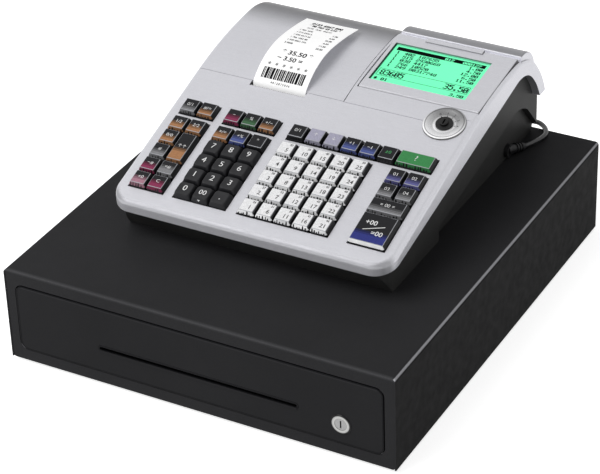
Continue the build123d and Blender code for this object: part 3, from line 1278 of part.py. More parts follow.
def gear(teeth, width, first_angle):
    """Spur gear with plain tapered teeth, lying in the (y, z) plane, a tooth at first_angle."""
    pitch_r = GEAR_MODULE * teeth / 2
    root_r = pitch_r - 1.25 * GEAR_MODULE
    tip_r = pitch_r + 0.85 * GEAR_MODULE
    step = 360 / teeth
    solid = side_prism(make_face(CenterArc((0, 0), root_r, 0, 360)), 0, width)
    root_half = math.radians(step) * 0.25 * root_r
    tip_half = GEAR_MODULE * 0.34
    tooth = make_face(Polyline((root_r - 0.3, -root_half), (root_r, -root_half), (tip_r, -tip_half),
                               (tip_r, tip_half), (root_r, root_half), (root_r - 0.3, root_half),
                               close=True))
    tooth = side_prism(tooth, 0, width)
    return solid + [Rot(first_angle + i * step, 0, 0) * tooth for i in range(teeth)]


def platen_roller():
    """Rubber platen and its gear on a steel shaft."""
    z = CASE_TOP + PLATEN_HEIGHT
    y = PLATEN_Y
    shaft = rod_x(PLATE_IN_X0 - SIDE_PLATE - SHAFT_END, GEAR_X1 + GEAR_SIDE_GAP, y, z, PLATEN_SHAFT_R)
    rubber = rod_x(PAPER_X - PAPER_WIDTH / 2 - 1, PAPER_X + PAPER_WIDTH / 2 + 1, y, z, PLATEN_RADIUS)
    rubber -= rod_x(PLATE_IN_X0, PLATE_IN_X1, y, z, PLATEN_SHAFT_R)
    wheel = Pos(GEAR_X0, y, z) * gear(PLATEN_TEETH, GEAR_WIDTH, GEAR_DIRECTION)
    wheel -= rod_x(GEAR_X0 - 1, GEAR_X1 + 2, y, z, PLATEN_SHAFT_R)
    return group([shaft, rubber, wheel])


def motor_pinion():
    """Pinion on the feed motor's shaft."""
    z = CASE_TOP + PINION_HEIGHT
    gap_angle = GEAR_DIRECTION + 180 + 180 / PINION_TEETH
    wheel = Pos(GEAR_X0, PINION_Y, z) * gear(PINION_TEETH, GEAR_WIDTH, gap_angle)
    return wheel + rod_x(GEAR_X0, MOTOR_FACE_X + PINION_SHAFT_END, PINION_Y, z, MOTOR_SHAFT_R)


def feed_motor():
    """Stepping motor that feeds the paper."""
    z = CASE_TOP + PINION_HEIGHT
    can = rod_x(MOTOR_FACE_X, MOTOR_FACE_X + MOTOR_LENGTH, PINION_Y, z, MOTOR_RADIUS)
    bore_end = MOTOR_FACE_X + PINION_SHAFT_END + 1
    return can - rod_x(MOTOR_FACE_X - 1, bore_end, PINION_Y, z, MOTOR_SHAFT_R + RUNNING_GAP)


def printer_frame():
    """Side plates, trough for the roll, head bar and motor bracket."""
    floor = CASE_TOP + SHELL
    top = CASE_TOP + PLATEN_HEIGHT + PLATE_RISE
    shoulder = CASE_TOP + ROLL_HEIGHT + PLATE_SHOULDER
    rear = ROLL_Y + ROLL_RADIUS + TROUGH_GAP + TROUGH_WALL
    front = OUTLET_FRONT_Y - HEAD_BAR - HEAD_BAR_GAP
    top_y = PLATEN_Y + PLATE_TOP_LENGTH
    outline = make_face(Polyline((front, floor), (front, top), (top_y, top),
                                 (top_y + PLATE_TOP_SLOPE, shoulder), (rear, shoulder), (rear, floor),
                                 close=True))
    x0, x1 = PLATE_IN_X0, PLATE_IN_X1
    frame = side_prism(outline, x0 - SIDE_PLATE, x0) + side_prism(outline, x1, x1 + SIDE_PLATE)
    trough_r = ROLL_RADIUS + TROUGH_GAP
    z = CASE_TOP + ROLL_HEIGHT
    trough = rod_x(x0, x1, ROLL_Y, z, trough_r + TROUGH_WALL) - rod_x(x0 - 1, x1 + 1, ROLL_Y, z, trough_r)
    frame += trough & block(x0, x1, ROLL_Y - ROLL_RADIUS * 2, ROLL_Y + ROLL_RADIUS * 2, floor, z)
    frame += block(x0, x1, front, front + HEAD_BAR, CASE_TOP + HEAD_BAR_BOTTOM, top)
    bar_rear = TEAR_BAR_Y + TEAR_BAR_THICKNESS + HEAD_BAR_GAP
    frame += block(x0, x1, front, bar_rear, top - HEAD_BAR, top)
    frame -= rod_x(x0 - 5, x1 + 5, PLATEN_Y, CASE_TOP + PLATEN_HEIGHT, PLATEN_SHAFT_R + RUNNING_GAP)
    z = CASE_TOP + PINION_HEIGHT
    y0, y1 = PINION_Y - BRACKET_HALF_WIDTH, PINION_Y + BRACKET_HALF_WIDTH
    low = z - BRACKET_DROP
    bracket = block(MOTOR_FACE_X - BRACKET_THICKNESS, MOTOR_FACE_X, y0, y1, low, z + BRACKET_HALF_WIDTH)
    bracket += block(x1 + SIDE_PLATE, MOTOR_FACE_X, y0, y1, low, low + HEAD_BAR)
    bracket -= rod_x(MOTOR_FACE_X - 3, MOTOR_FACE_X + 1, PINION_Y, z, MOTOR_SHAFT_R + RUNNING_GAP)
    return frame + bracket


def thermal_head():
    """Ceramic print head that faces the platen, on the head bar."""
    half = PAPER_WIDTH / 2
    back = OUTLET_FRONT_Y - HEAD_BAR_GAP
    front = PLATEN_Y - PLATEN_RADIUS - PAPER_THICKNESS - HEAD_GAP
    z = CASE_TOP + PLATEN_HEIGHT
    return block(PAPER_X - half, PAPER_X + half, back, front, z - HEAD_DROP, z + HEAD_DROP / 2)


def tear_bar():
    """Serrated steel strip at the paper outlet, with an ear at each end."""
    ear = PAPER_WIDTH / 2 + TEAR_BAR_MARGIN
    half = PAPER_WIDTH / 2 + OUTLET_MARGIN / 2
    z0 = CASE_TOP + PLATEN_HEIGHT + PLATE_RISE
    z1 = CASE_TOP + KNEE_HEIGHT - TEAR_BAR_DROP
    rear_y = TEAR_BAR_Y + TEAR_BAR_THICKNESS
    bar = block(PAPER_X - ear, PAPER_X + ear, TEAR_BAR_Y, rear_y, z0, z0 + TEAR_BAR_EAR)
    bar += block(PAPER_X - half, PAPER_X + half, TEAR_BAR_Y, rear_y, z0, z1)
    count = int(2 * half / TEETH_PITCH)
    side = TEETH_PITCH * 0.6
    start = PAPER_X - (count - 1) * TEETH_PITCH / 2
    notch = Rot(0, 45, 0) * Box(side, 4 * TEAR_BAR_THICKNESS, side)
    notches = [Pos(start + i * TEETH_PITCH, TEAR_BAR_Y, z1) * notch for i in range(count)]
    return bar - notches


def paper_roll():
    """Roll of receipt paper on its plastic core."""
    x0, x1 = PAPER_X - PAPER_WIDTH / 2, PAPER_X + PAPER_WIDTH / 2
    z = CASE_TOP + ROLL_HEIGHT
    paper = rod_x(x0, x1, ROLL_Y, z, ROLL_RADIUS) - rod_x(x0 - 1, x1 + 1, ROLL_Y, z, ROLL_CORE_R)
    core = rod_x(x0, x1, ROLL_Y, z, ROLL_CORE_R)
    core -= rod_x(x0 - 1, x1 + 1, ROLL_Y, z, ROLL_CORE_R - ROLL_CORE_WALL)
    return group([paper, core])


def receipt():
    """Printed strip that curls out of the outlet and back over the cover."""
    x0 = PAPER_X - PAPER_WIDTH / 2
    start = (PAPER_START_Y, CASE_TOP + PAPER_BEND_HEIGHT)
    headings = ((90, 8.0, 43), (43, 80.0, 3), (3, 300.0, -7.5))
    outer_edges = []
    inner_edges = []
    point = start
    inner = (start[0] + PAPER_THICKNESS, start[1])
    for heading, radius, end_heading in headings:
        edge, point = bend(point, heading, radius, end_heading)
        outer_edges.append(edge)
        edge, inner = bend(inner, heading, radius - PAPER_THICKNESS, end_heading)
        inner_edges.append(edge)
    foot = (start[0], start[1] - PAPER_FOOT)
    inner_start = (start[0] + PAPER_THICKNESS, start[1])
    inner_foot = (inner_start[0], foot[1])
    edges = outer_edges + inner_edges + [Line(point, inner), Polyline(start, foot, inner_foot, inner_start)]
    return side_prism(make_face(Curve() + edges), x0, x0 + PAPER_WIDTH)


# ------------------------------------------------------------------ mains lead
BOOT_START = Vector(BASE_HALF_WIDTH - RECESS_DEPTH, BODY_REAR_Y - BOOT_INSET, CASE_TOP + BOOT_HEIGHT)
BOOT_TIP = BOOT_START + Vector(*BOOT_RUN)
ON_TOP_Z = CASE_TOP + CORD_DIAMETER / 2 + 0.1
ON_FLOOR_Z = CORD_DIAMETER / 2 + 0.1
COIL_OUTER_R = COIL_TURN_DIAMETER / 2 + COIL_COLUMNS * CORD_DIAMETER / 2
COIL_INNER_R = COIL_TURN_DIAMETER / 2 - COIL_COLUMNS * CORD_DIAMETER / 2
COIL_FRONT_Y = COIL_Y - COIL_OUTER_R + CORD_DIAMETER / 2

# Route of the lead: over the drawer unit, down behind it and along the floor to the coil.
LEAD_ROUTE = [
    (BOOT_TIP.X, BOOT_TIP.Y, BOOT_TIP.Z),
    (154.5, 206.0, ON_TOP_Z),
    (148.7, 226.2, ON_TOP_Z),
    (131.3, 238.0, ON_TOP_Z - 0.6),
    (113.0, 241.5, 96.0),
    (101.5, 243.5, 70.0),
    (97.5, 245.0, 45.0),
    (96.0, 246.0, 24.0),
    (87.6, 244.8, 10.4),
    (73.7, 242.9, ON_FLOOR_Z),
    (56.7, 242.0, ON_FLOOR_Z),
    (39.3, 245.4, ON_FLOOR_Z),
]
# Route of the free end, from the coil's upper layer to the plug.
TAIL_ROUTE = [
    (COIL_X, COIL_FRONT_Y, CORD_DIAMETER * 1.5 + 0.1),
    (12.0, COIL_FRONT_Y - 1.6, 5.6),
    (-6.0, COIL_FRONT_Y, ON_FLOOR_Z),
    (-24.0, COIL_FRONT_Y + 3.0, 4.0),
    (-40.0, COIL_FRONT_Y + 4.0, PLUG_HEIGHT / 2),
]


def cord_strain_relief():
    """Tapered ribbed boot on the flank's sunk panel."""
    direction = BOOT_TIP - BOOT_START
    boot_length = direction.length
    along = Plane(origin=BOOT_START, z_dir=direction)
    boot = Pos(0, 0, boot_length / 2) * Cone(BOOT_BASE_R, BOOT_TIP_R, boot_length)
    for i in range(BOOT_RIBS):
        share = 0.5 + 0.15 * i
        radius = BOOT_BASE_R + (BOOT_TIP_R - BOOT_BASE_R) * share + BOOT_RIB_PROUD
        boot += Pos(0, 0, boot_length * share) * Cylinder(radius, boot_length * 0.07)
    boot = along.location * boot
    base = rod_x(BOOT_START.X, BOOT_START.X + BOOT_BASE_LENGTH, BOOT_START.Y, BOOT_START.Z,
                 BOOT_BASE_R + BOOT_BASE_EDGE)
    outside = block(BOOT_START.X, CASE_WIDTH / 2, 0, CASE_DEPTH, CASE_TOP, CASE_TOP + KNEE_HEIGHT)
    return (boot + base) & outside


def lead_tube(points):
    """Tube of the lead's diameter along the points, with an arc at each corner."""
    vectors = [Vector(*point) for point in points]
    runs = [b - a for a, b in zip(vectors, vectors[1:])]
    radii = []
    for first, second in zip(runs, runs[1:]):
        half_turn = math.radians(first.get_angle(second)) / 2
        radii.append(0.45 * min(first.length, second.length) / math.tan(half_turn))
    print("lead radii", [round(radius, 1) for radius in radii])
    path = FilletPolyline(*vectors, radius=radii)
    section = Plane(origin=path @ 0, z_dir=path % 0) * Circle(CORD_DIAMETER / 2)
    tube = sweep(section, path=path)
    print("lead length", round(path.length), "volume ratio",
          round(tube.volume / (path.length * math.pi * (CORD_DIAMETER / 2) ** 2), 4))
    return tube


def mains_cord_coil():
    """Outer form of the wound remainder of the lead, lying on the floor."""
    height = COIL_LAYERS * CORD_DIAMETER + COIL_CLEARANCE
    ring = rod_z(0, height, COIL_X, COIL_Y, COIL_OUTER_R)
    return ring - rod_z(-1, height + 1, COIL_X, COIL_Y, COIL_INNER_R)


def mains_plug():
    """Two-pin plug with a tapered sleeve, lying on its flat side."""
    sleeve = Pos(0, 0, PLUG_SLEEVE / 2) * Cone(PLUG_SLEEVE_R, PLUG_SLEEVE_R + PLUG_SLEEVE_FLARE, PLUG_SLEEVE)
    body = Pos(0, 0, PLUG_SLEEVE + PLUG_LENGTH / 2) * Box(PLUG_WIDTH, PLUG_HEIGHT, PLUG_LENGTH)
    body = fillet(body.edges().filter_by(Axis.Z), PLUG_SIDE_R)
    body = fillet(body.faces().sort_by(Axis.Z)[0].edges(), PLUG_FRONT_R)
    plug = sleeve + body
    end = PLUG_SLEEVE + PLUG_LENGTH
    for side in (-1, 1):
        pin = Box(PLUG_PIN_THICKNESS, PLUG_PIN_WIDTH, PLUG_PIN)
        plug += Pos(side * PLUG_PIN_PITCH / 2, 0, end + PLUG_PIN / 2) * pin
    last = Vector(*TAIL_ROUTE[-1])
    heading = last - Vector(*TAIL_ROUTE[-2])
    place = Plane(origin=last, x_dir=(-heading.Y, heading.X, 0), z_dir=(heading.X, heading.Y, 0))
    return place.location * plug


# ------------------------------------------------------------------ nodes
print("rim rear height", round(RIM_REAR_Z - CASE_TOP, 2))
save("drawer_case", drawer_case() - screw_holes())
save("case_base", case_base())
save("case_front_frame", case_front_frame())
save("case_feet", case_feet())
save("fasteners", fasteners())
save("case_rails", case_rails())
save("case_rollers", roller_pair(CASE_ROLLER_Y, CASE_ROLLER_Z, RAIL_INNER_X + 1.5))
save("drawer_front", drawer_front())
save("drawer_pan", drawer_pan())
save("drawer_rollers", roller_pair(DRAWER_ROLLER_Y, RAIL_CENTRE_Z, RAIL_INNER_X + 0.2))
save("till_tray", till_tray())
save("clip_rod", clip_rod())
save("note_clips", note_clips())
save("lock_barrel", lock_barrel())
save("lock_plug", lock_plug())
save("latch_hook", latch_hook())
save("latch_solenoid", latch_solenoid())
save("eject_spring", eject_spring())

SILVER_SHELL = silver_shell()
save("upper_case", upper_case(SILVER_SHELL))
save("printer_cover", printer_cover(SILVER_SHELL))
save("lower_case", lower_case())
save("main_board", main_board())
save("power_transformer", power_transformer())

save("key_frame", key_frame())
save("key_mat", key_mat())
save("keyboard_board", keyboard_board())
for node, cells in key_cells().items():
    save(node, group(key(*place) for place in cells))

save("mode_switch_ring", mode_switch_ring())
save("mode_switch_rotor", mode_switch_rotor())
save("display_bezel", display_bezel())
save("lcd_panel", lcd_panel())
save("customer_display", customer_display())

save("printer_frame", printer_frame())
save("thermal_head", thermal_head())
save("tear_bar", tear_bar())
save("platen_roller", platen_roller())
save("motor_pinion", motor_pinion())
save("feed_motor", feed_motor())
save("paper_roll", paper_roll())
save("receipt", receipt())

save("cord_strain_relief", cord_strain_relief())
save("mains_cord", group([lead_tube(LEAD_ROUTE), lead_tube(TAIL_ROUTE)]))
save("mains_cord_coil", mains_cord_coil())
save("mains_plug", mains_plug())
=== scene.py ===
import math
import random

import bmesh
import bpy
from mathutils import Matrix, Vector


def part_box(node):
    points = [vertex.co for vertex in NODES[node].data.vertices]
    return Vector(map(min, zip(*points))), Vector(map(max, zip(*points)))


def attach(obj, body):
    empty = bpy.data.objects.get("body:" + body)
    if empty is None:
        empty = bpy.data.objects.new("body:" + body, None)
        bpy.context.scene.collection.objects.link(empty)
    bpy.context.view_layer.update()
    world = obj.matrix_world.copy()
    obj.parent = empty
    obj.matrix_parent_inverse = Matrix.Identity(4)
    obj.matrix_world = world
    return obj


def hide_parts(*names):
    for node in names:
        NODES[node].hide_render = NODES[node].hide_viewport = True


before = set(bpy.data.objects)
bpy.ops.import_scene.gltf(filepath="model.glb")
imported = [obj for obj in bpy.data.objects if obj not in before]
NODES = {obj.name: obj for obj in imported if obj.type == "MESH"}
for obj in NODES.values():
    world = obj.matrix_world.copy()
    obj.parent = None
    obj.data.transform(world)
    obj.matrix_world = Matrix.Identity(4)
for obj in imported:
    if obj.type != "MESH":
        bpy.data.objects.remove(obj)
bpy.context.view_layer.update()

# Lengths are in millimetres here, and MM turns them into Blender's metres.
MM = 0.001

# Drawer unit: its top as the frame has it, its front, and what is on the front.
CASE_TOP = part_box("drawer_case")[1].z / MM
CASE_FRONT_Y = -230.0
LOCK_X, LOCK_Z = 150.4, 37.9
PANEL_SIZE = (386.0, 71.0, 8.0)
PANEL_Z = 52.5
SLOT_SIZE = (209.0, 3.6, 1.8)
SLOT_X, SLOT_Z = 1.5, 43.5

# Each block of keys on the deck: its middle in X, and its number of columns.
LEFT, NUMBERS, DEPARTMENTS, TOP, RIGHT = (-117.0, 2), (-58.7, 3), (29.8, 5), (59.3, 8), (116.9, 2)
KEY_PITCH = 19.2
KEY_GAP = 0.9
TOP_ROW_S = -8.0
BLOCK_TOP_S = -22.4
KEY_BOTTOM, KEY_FOOT, KEY_SHOULDER, KEY_TOP = -1.5, 0.5, 2.0, 5.5
KEY_INSET = (KEY_TOP - KEY_SHOULDER) * math.tan(math.radians(28))
KEY_CORNER = 2.0
CAP_RIM = 0.25

# Centre of the key switch on the deck, and of the paper roll in Y and Z.
SWITCH_X, SWITCH_S = 120.7, 46.2
ROLL_CENTRE = (150.0, CASE_TOP + 47.0)

INK = (0.004, 0.004, 0.005)


def plane_matrix(origin, tilt):
    """Matrix of a plane that rises towards the rear by so many degrees."""
    return Matrix.Translation(origin) @ Matrix.Rotation(math.radians(tilt), 4, "X")


KEY_SLOPE = 17.3
DECK = plane_matrix((0, 0, CASE_TOP + 80.007), KEY_SLOPE)
DISPLAY = plane_matrix((0, 66.2, CASE_TOP + 100.4), 9)
DRAWER_FRONT = plane_matrix((0, CASE_FRONT_Y, 0), 90)


# ---- materials
FINISHES = {}


class Finish:
    """A procedural material: a Principled surface with nodes for its colour, roughness and relief."""

    def __init__(self, name, **sockets):
        material = FINISHES[name] = bpy.data.materials.new(name)
        material.use_nodes = True
        self.tree = material.node_tree
        self.shader = self.tree.nodes["Principled BSDF"]
        self.coordinates = self.node("ShaderNodeTexCoord").outputs["Object"]
        self.bump = None
        for socket, value in sockets.items():
            self.set(socket.replace("_", " "), value)

    def put(self, socket, value):
        """Link the value to the socket, or set it."""
        if isinstance(value, bpy.types.NodeSocket):
            self.tree.links.new(value, socket)
        elif socket.type == "RGBA":
            socket.default_value = (*value, 1)
        else:
            socket.default_value = value

    def node(self, kind, inputs=(), **attributes):
        made = self.tree.nodes.new(kind)
        for name, value in attributes.items():
            setattr(made, name, value)
        for name, value in dict(inputs).items():
            self.put(made.inputs[name], value)
        return made

    def set(self, name, value):
        self.put(self.shader.inputs[name], value)

    def stretched(self, scale):
        """Object coordinates with each axis scaled by itself."""
        mapping = self.node("ShaderNodeMapping", {"Vector": self.coordinates, "Scale": scale})
        return mapping.outputs["Vector"]

    def noise(self, size, detail, vector=None):
        """Noise whose features are about size millimetres across."""
        inputs = {"Vector": vector or self.coordinates, "Scale": 1 / (size * MM), "Detail": detail}
        return self.node("ShaderNodeTexNoise", inputs).outputs["Fac"]

    def cells(self, size):
        """A random value for each crystal or flake, about size millimetres across."""
        inputs = {"Vector": self.coordinates, "Scale": 1 / (size * MM)}
        color = self.node("ShaderNodeTexVoronoi", inputs).outputs["Color"]
        return self.node("ShaderNodeSeparateColor", {"Color": color}).outputs[0]

    def span(self, value, low, high, start=0.3, end=0.7):
        """The value's range from start to end, turned into low to high."""
        inputs = {"Value": value, "From Min": start, "From Max": end, "To Min": low, "To Max": high}
        return self.node("ShaderNodeMapRange", inputs).outputs["Result"]

    def ramp(self, value, *stops):
        """Colour that the value picks between (place, colour) stops."""
        ramp = self.node("ShaderNodeValToRGB", {"Fac": value})
        elements = ramp.color_ramp.elements
        while len(elements) < len(stops):
            elements.new(0.5)
        for element, (place, color) in zip(elements, stops):
            element.position = place
            element.color = (*color, 1)
        return ramp.outputs["Color"]

    def tones(self, value, color, spread):
        """The colour, darker and lighter by spread as the value says."""
        return self.ramp(value, (0.3, shade(color, 1 - spread)), (0.7, shade(color, 1 + spread)))

    def math(self, operation, *values):
        inputs = dict(enumerate(values))
        return self.node("ShaderNodeMath", inputs, operation=operation).outputs["Value"]

    def axis(self, letter):
        """The place along one axis, in millimetres."""
        parts = self.node("ShaderNodeSeparateXYZ", {"Vector": self.coordinates})
        return self.math("DIVIDE", parts.outputs[letter], MM)

    def offset(self, letter, centre):
        return self.math("SUBTRACT", self.axis(letter), centre)

    def radius(self, *offsets):
        """Distance from an axis, from the two offsets across it."""
        return self.math("SQRT", self.math("ADD", *[self.math("MULTIPLY", part, part) for part in offsets]))

    def facing(self, letter):
        """How far the surface faces along one axis, from -1 to 1."""
        normal = self.node("ShaderNodeTexCoord").outputs["Normal"]
        return self.node("ShaderNodeSeparateXYZ", {"Vector": normal}).outputs[letter]

    def scaled(self, color, *factors):
        """The colour times each of the factors."""
        for factor in factors:
            made = self.node("ShaderNodeVectorMath", {0: color, "Scale": factor}, operation="SCALE")
            color = made.outputs["Vector"]
        return color

    def rough(self, value, low, high, *limits):
        self.set("Roughness", self.span(value, low, high, *limits))

    def relief(self, height, depth):
        """Bump of so many millimetres, on top of those before it."""
        inputs = {"Height": height, "Distance": depth * MM}
        if self.bump:
            inputs["Normal"] = self.bump
        self.bump = self.node("ShaderNodeBump", inputs).outputs["Normal"]
        self.set("Normal", self.bump)


def shade(color, factor):
    """The colour, darker or lighter by a factor."""
    return tuple(min(1, channel * factor) for channel in color)


def moulded(name, color, roughness, grain=0.35, depth=0.02, spread=0.12, patch=28, specular=0.5, **sockets):
    """Moulded plastic: fine spark-eroded grain, and slight variation of colour and gloss."""
    finish = Finish(name, Specular_IOR_Level=specular, **sockets)
    broad = finish.noise(patch, 3)
    fine = finish.noise(grain, 3)
    finish.set("Base Color", finish.tones(broad, color, spread))
    finish.rough(fine, roughness - 0.05, roughness + 0.07)
    finish.relief(fine, depth)


def powder_coat(name, color, roughness, *shadings):
    """Powder-coated steel: orange-peel texture, sparse lighter specks, a painted highlight along its bends,
    and any painted light and shade it is given.
    """
    finish = Finish(name, Specular_IOR_Level=0.02)
    peel = finish.noise(1.1, 3)
    specks = finish.noise(0.5, 1)
    tone = finish.tones(finish.noise(70, 4), color, 0.05)
    corner = finish.math("MULTIPLY", finish.math("ABSOLUTE", finish.facing("X")), finish.facing("Z"))
    # Painted highlight along the rounded bends between the top and the sides.
    edge = finish.span(corner, 1.0, 15.0, 0.36, 0.49)
    speck = finish.span(specks, 1.0, 2.0, 0.62, 0.75)
    finish.set("Base Color", finish.scaled(tone, edge, speck, *[shading(finish) for shading in shadings]))
    finish.rough(finish.noise(9, 3), roughness - 0.05, roughness + 0.05)
    finish.relief(peel, 0.05)
    finish.relief(specks, 0.02)


def metal(name, color, roughness, lay, brush=0.25, depth=0.01):
    """Metal with fine lines along the axis that lay shortens."""
    finish = Finish(name, Metallic=1.0)
    lines = finish.noise(brush, 2, finish.stretched(lay))
    finish.set("Base Color", finish.tones(finish.noise(18, 3), color, 0.08))
    finish.rough(lines, roughness - 0.08, roughness + 0.1)
    finish.relief(lines, depth)


def galvanised(name):
    """Zinc-coated sheet with its spangle."""
    finish = Finish(name, Metallic=1.0)
    value = finish.cells(7)
    finish.set("Base Color", finish.ramp(value, (0.0, (0.40, 0.41, 0.42)), (1.0, (0.56, 0.57, 0.58))))
    finish.rough(value, 0.34, 0.52, 0, 1)
    finish.relief(finish.noise(0.6, 3), 0.01)


def silver_paint(name, *shadings):
    """Metallic silver paint over plastic, with fine aluminium flake, and any painted light and shade it is
    given.
    """
    finish = Finish(name, Metallic=0.4, Coat_Weight=0.05, Coat_Roughness=0.25, Specular_IOR_Level=0.3)
    base = finish.ramp(finish.cells(0.16), (0.0, (0.535, 0.535, 0.575)), (1.0, (0.675, 0.675, 0.71)))
    streaks = finish.span(finish.noise(1.4, 3, finish.stretched((0.1, 1, 1))), 0.975, 1.025)
    finish.set("Base Color", finish.scaled(base, streaks, *[shading(finish) for shading in shadings]))
    finish.rough(finish.noise(12, 3), 0.36, 0.43)
    finish.relief(finish.noise(0.3, 2), 0.004)


# Painted light and shade on a paint. Each gives a factor on the colour, which goes from low to high as a
# value goes from
# start to end: the way the surface faces, or the place along an axis.
def by_facing(letter, low, high, start, end, both=False):
    def shading(finish):
        value = finish.facing(letter)
        if both:
            value = finish.math("ABSOLUTE", value)
        return finish.span(value, low, high, start, end)

    return shading


def by_place(letter, low, high, start, end):
    def shading(finish):
        factor = finish.span(finish.axis(letter), low, high, start, end)
        factor.node.interpolation_type = "SMOOTHSTEP"
        return factor

    return shading


def front_edge(finish):
    """Painted highlight where the front of the case turns over to its top."""
    edge = CASE_FRONT_Y - CASE_TOP
    return finish.span(finish.offset("Y", finish.axis("Z")), 2.3, 1.0, edge + 0.5, edge + 4)


def panel_edge(finish):
    """Painted highlight: a lighter line along the upper edge of the drawer front."""
    return finish.span(finish.axis("Z"), 1.0, 1.7, 85.2, 86.2)


def dark_wall(finish):
    """Painted shade on the walls of the openings, which face the middle of the case."""
    return finish.span(finish.math("MULTIPLY", finish.axis("X"), finish.facing("X")), 0.12, 1.0, -9, -3)


# The case: painted shade on its sides and painted light on its front. Its drawer front: painted shade in the
# gap round it.
CASE_SIDES_SHADE = by_facing("X", 1.0, 0.24, 0.85, 0.97, both=True)
CASE_FRONT_LIGHT = by_facing("Y", 1.18, 1.0, -1.0, -0.6)
PANEL_GAP_SHADE = by_facing("Y", 1.0, 0.12, -0.6, -0.2)
# The upper case: painted light where it turns over to the right, painted shade over the front edge, and
# painted light on its lip.
RIGHT_TURN_LIGHT = by_facing("X", 1.0, 1.36, 0.3, 0.75)
FRONT_TURN_SHADE = by_facing("Y", 0.52, 1.0, -0.55, -0.32)
FRONT_LIP_LIGHT = by_facing("Y", 1.7, 1.0, -0.98, -0.75)
# The printer cover: painted shade over its crest, and painted light that brings it back up towards its foot.
CREST_SHADE = by_place("Y", 1.0, 0.2, 118, 170)
REAR_PAINTED_LIFT = by_place("Y", 1.0, 4.0, 173, 212)
# The display: painted shade in the gaps beside it, painted shade on its rounded front edge, and a painted
# highlight on its rear edge.
BEZEL_SIDE_SHADE = by_facing("X", 1.0, 0.12, 0.75, 0.9, both=True)
BEZEL_FRONT_SHADE = by_facing("Y", 0.45, 1.0, -0.75, -0.25)
BEZEL_REAR_HIGHLIGHT = by_facing("Y", 1.0, 1.35, 0.15, 0.6)
# The cap of the rear display: painted shade on top, and painted light on its upright sides.
CAP_LIGHT_AND_SHADE = by_facing("Z", 1.4, 0.42, 0.3, 0.85)


def switch_face(name):
    """Turned switch ring with painted reflections: a painted highlight on the collar and outer band, a dished
    face with painted shade that darkens to the rear, and painted shade in its groove and at its rim.
    """
    finish = Finish(name, Metallic=0.25)
    centre = DECK @ Vector((SWITCH_X, SWITCH_S, 0))
    y = finish.math("DIVIDE", finish.offset("Y", centre.y), math.cos(math.radians(KEY_SLOPE)))
    radius = finish.radius(finish.offset("X", centre.x), y)
    # Painted reflections by radius: a bright collar, a mid-grey dish, painted shade in the groove, a bright
    # outer band and a dark rim.
    rings = finish.ramp(
        finish.math("DIVIDE", radius, 21.5),
        (0.0, (0.90, 0.90, 0.91)), (0.50, (0.90, 0.90, 0.91)), (0.55, (0.50, 0.50, 0.51)),
        (0.84, (0.66, 0.66, 0.67)), (0.88, (0.16, 0.16, 0.17)), (0.92, (0.90, 0.90, 0.91)),
        (0.96, (0.85, 0.85, 0.86)), (0.98, (0.10, 0.10, 0.10)),
    )
    # Painted shade: the dish darkens towards the rear.
    finish.set("Base Color", finish.scaled(rings, finish.span(y, 1.3, 0.36, -12, 12)))
    lines = finish.noise(0.4, 2)
    finish.rough(lines, 0.22, 0.34)
    finish.relief(lines, 0.003)


def lock_face(name):
    """Nickel-plated lock barrel, ringed by a black band of painted shade."""
    finish = Finish(name, Metallic=1.0)
    radius = finish.radius(finish.offset("X", LOCK_X), finish.offset("Z", LOCK_Z))
    # Past about 9 mm from the middle the colour turns black: painted shade round the barrel.
    rings = finish.ramp(
        finish.math("DIVIDE", radius, 12.0),
        (0.50, (0.10, 0.10, 0.10)), (0.54, (0.42, 0.42, 0.41)),
        (0.70, (0.36, 0.36, 0.355)), (0.76, (0.02, 0.02, 0.02)),
    )
    finish.set("Base Color", rings)
    lines = finish.noise(0.3, 2)
    finish.rough(lines, 0.22, 0.36)
    finish.relief(lines, 0.004)


def wound_paper(name):
    """Paper roll: fine rings on its ends, round a grey core."""
    finish = Finish(name, Specular_IOR_Level=0.2)
    radius = finish.radius(finish.offset("Y", ROLL_CENTRE[0]), finish.offset("Z", ROLL_CENTRE[1]))
    rings = finish.math("SINE", finish.math("MULTIPLY", radius, 9.0))
    share = finish.math("DIVIDE", radius, 40.0)
    tone = finish.ramp(share, (0.225, (0.22, 0.22, 0.23)), (0.235, (0.86, 0.86, 0.85)))
    finish.set("Base Color", finish.scaled(tone, finish.span(rings, 0.93, 1.02, -1.0, 1.0)))
    finish.rough(finish.noise(0.4, 2), 0.58, 0.68)
    finish.relief(rings, 0.03)


def lcd_glow(name):
    """Backlit liquid crystal: an even green that is a little brighter in the middle."""
    finish = Finish(name, Roughness=0.3, Emission_Strength=0.34, Specular_IOR_Level=0.1)
    glow = finish.ramp(finish.noise(45, 2), (0.3, (0.155, 0.88, 0.45)), (0.7, (0.175, 0.94, 0.49)))
    finish.set("Base Color", glow)
    finish.set("Emission Color", glow)
    finish.relief(finish.noise(0.6, 1), 0.002)


# An insert fades in from black over two narrow bands: the share of its colour in each. COLOR_REACH is the
# share of the insert's depth that a reach of 1 stands for.
INSERT_LEVELS = (1.0, 0.62, 0.28)
COLOR_REACH = 0.88
INSERT_COLORS = {
    "white": (0.84, 0.84, 0.85),
    "black": (0.009, 0.009, 0.011),
    "grey": (0.22, 0.22, 0.23),
    "orange": (0.38, 0.185, 0.085),
    "crimson": (0.24, 0.03, 0.085),
    "pink": (0.40, 0.20, 0.26),
    "green": (0.045, 0.24, 0.075),
    "dark_green": (0.05, 0.13, 0.06),
    "blue": (0.075, 0.10, 0.29),
    "violet": (0.115, 0.115, 0.30),
    "navy": (0.028, 0.036, 0.20),
    "lavender": (0.38, 0.37, 0.47),
}
LEGEND_COLORS = {
    "legend_white": (0.80, 0.80, 0.80),
    "legend_black": INK,
    "legend_grey": (0.05, 0.05, 0.055),
    "legend_green": (0.04, 0.35, 0.10),
}
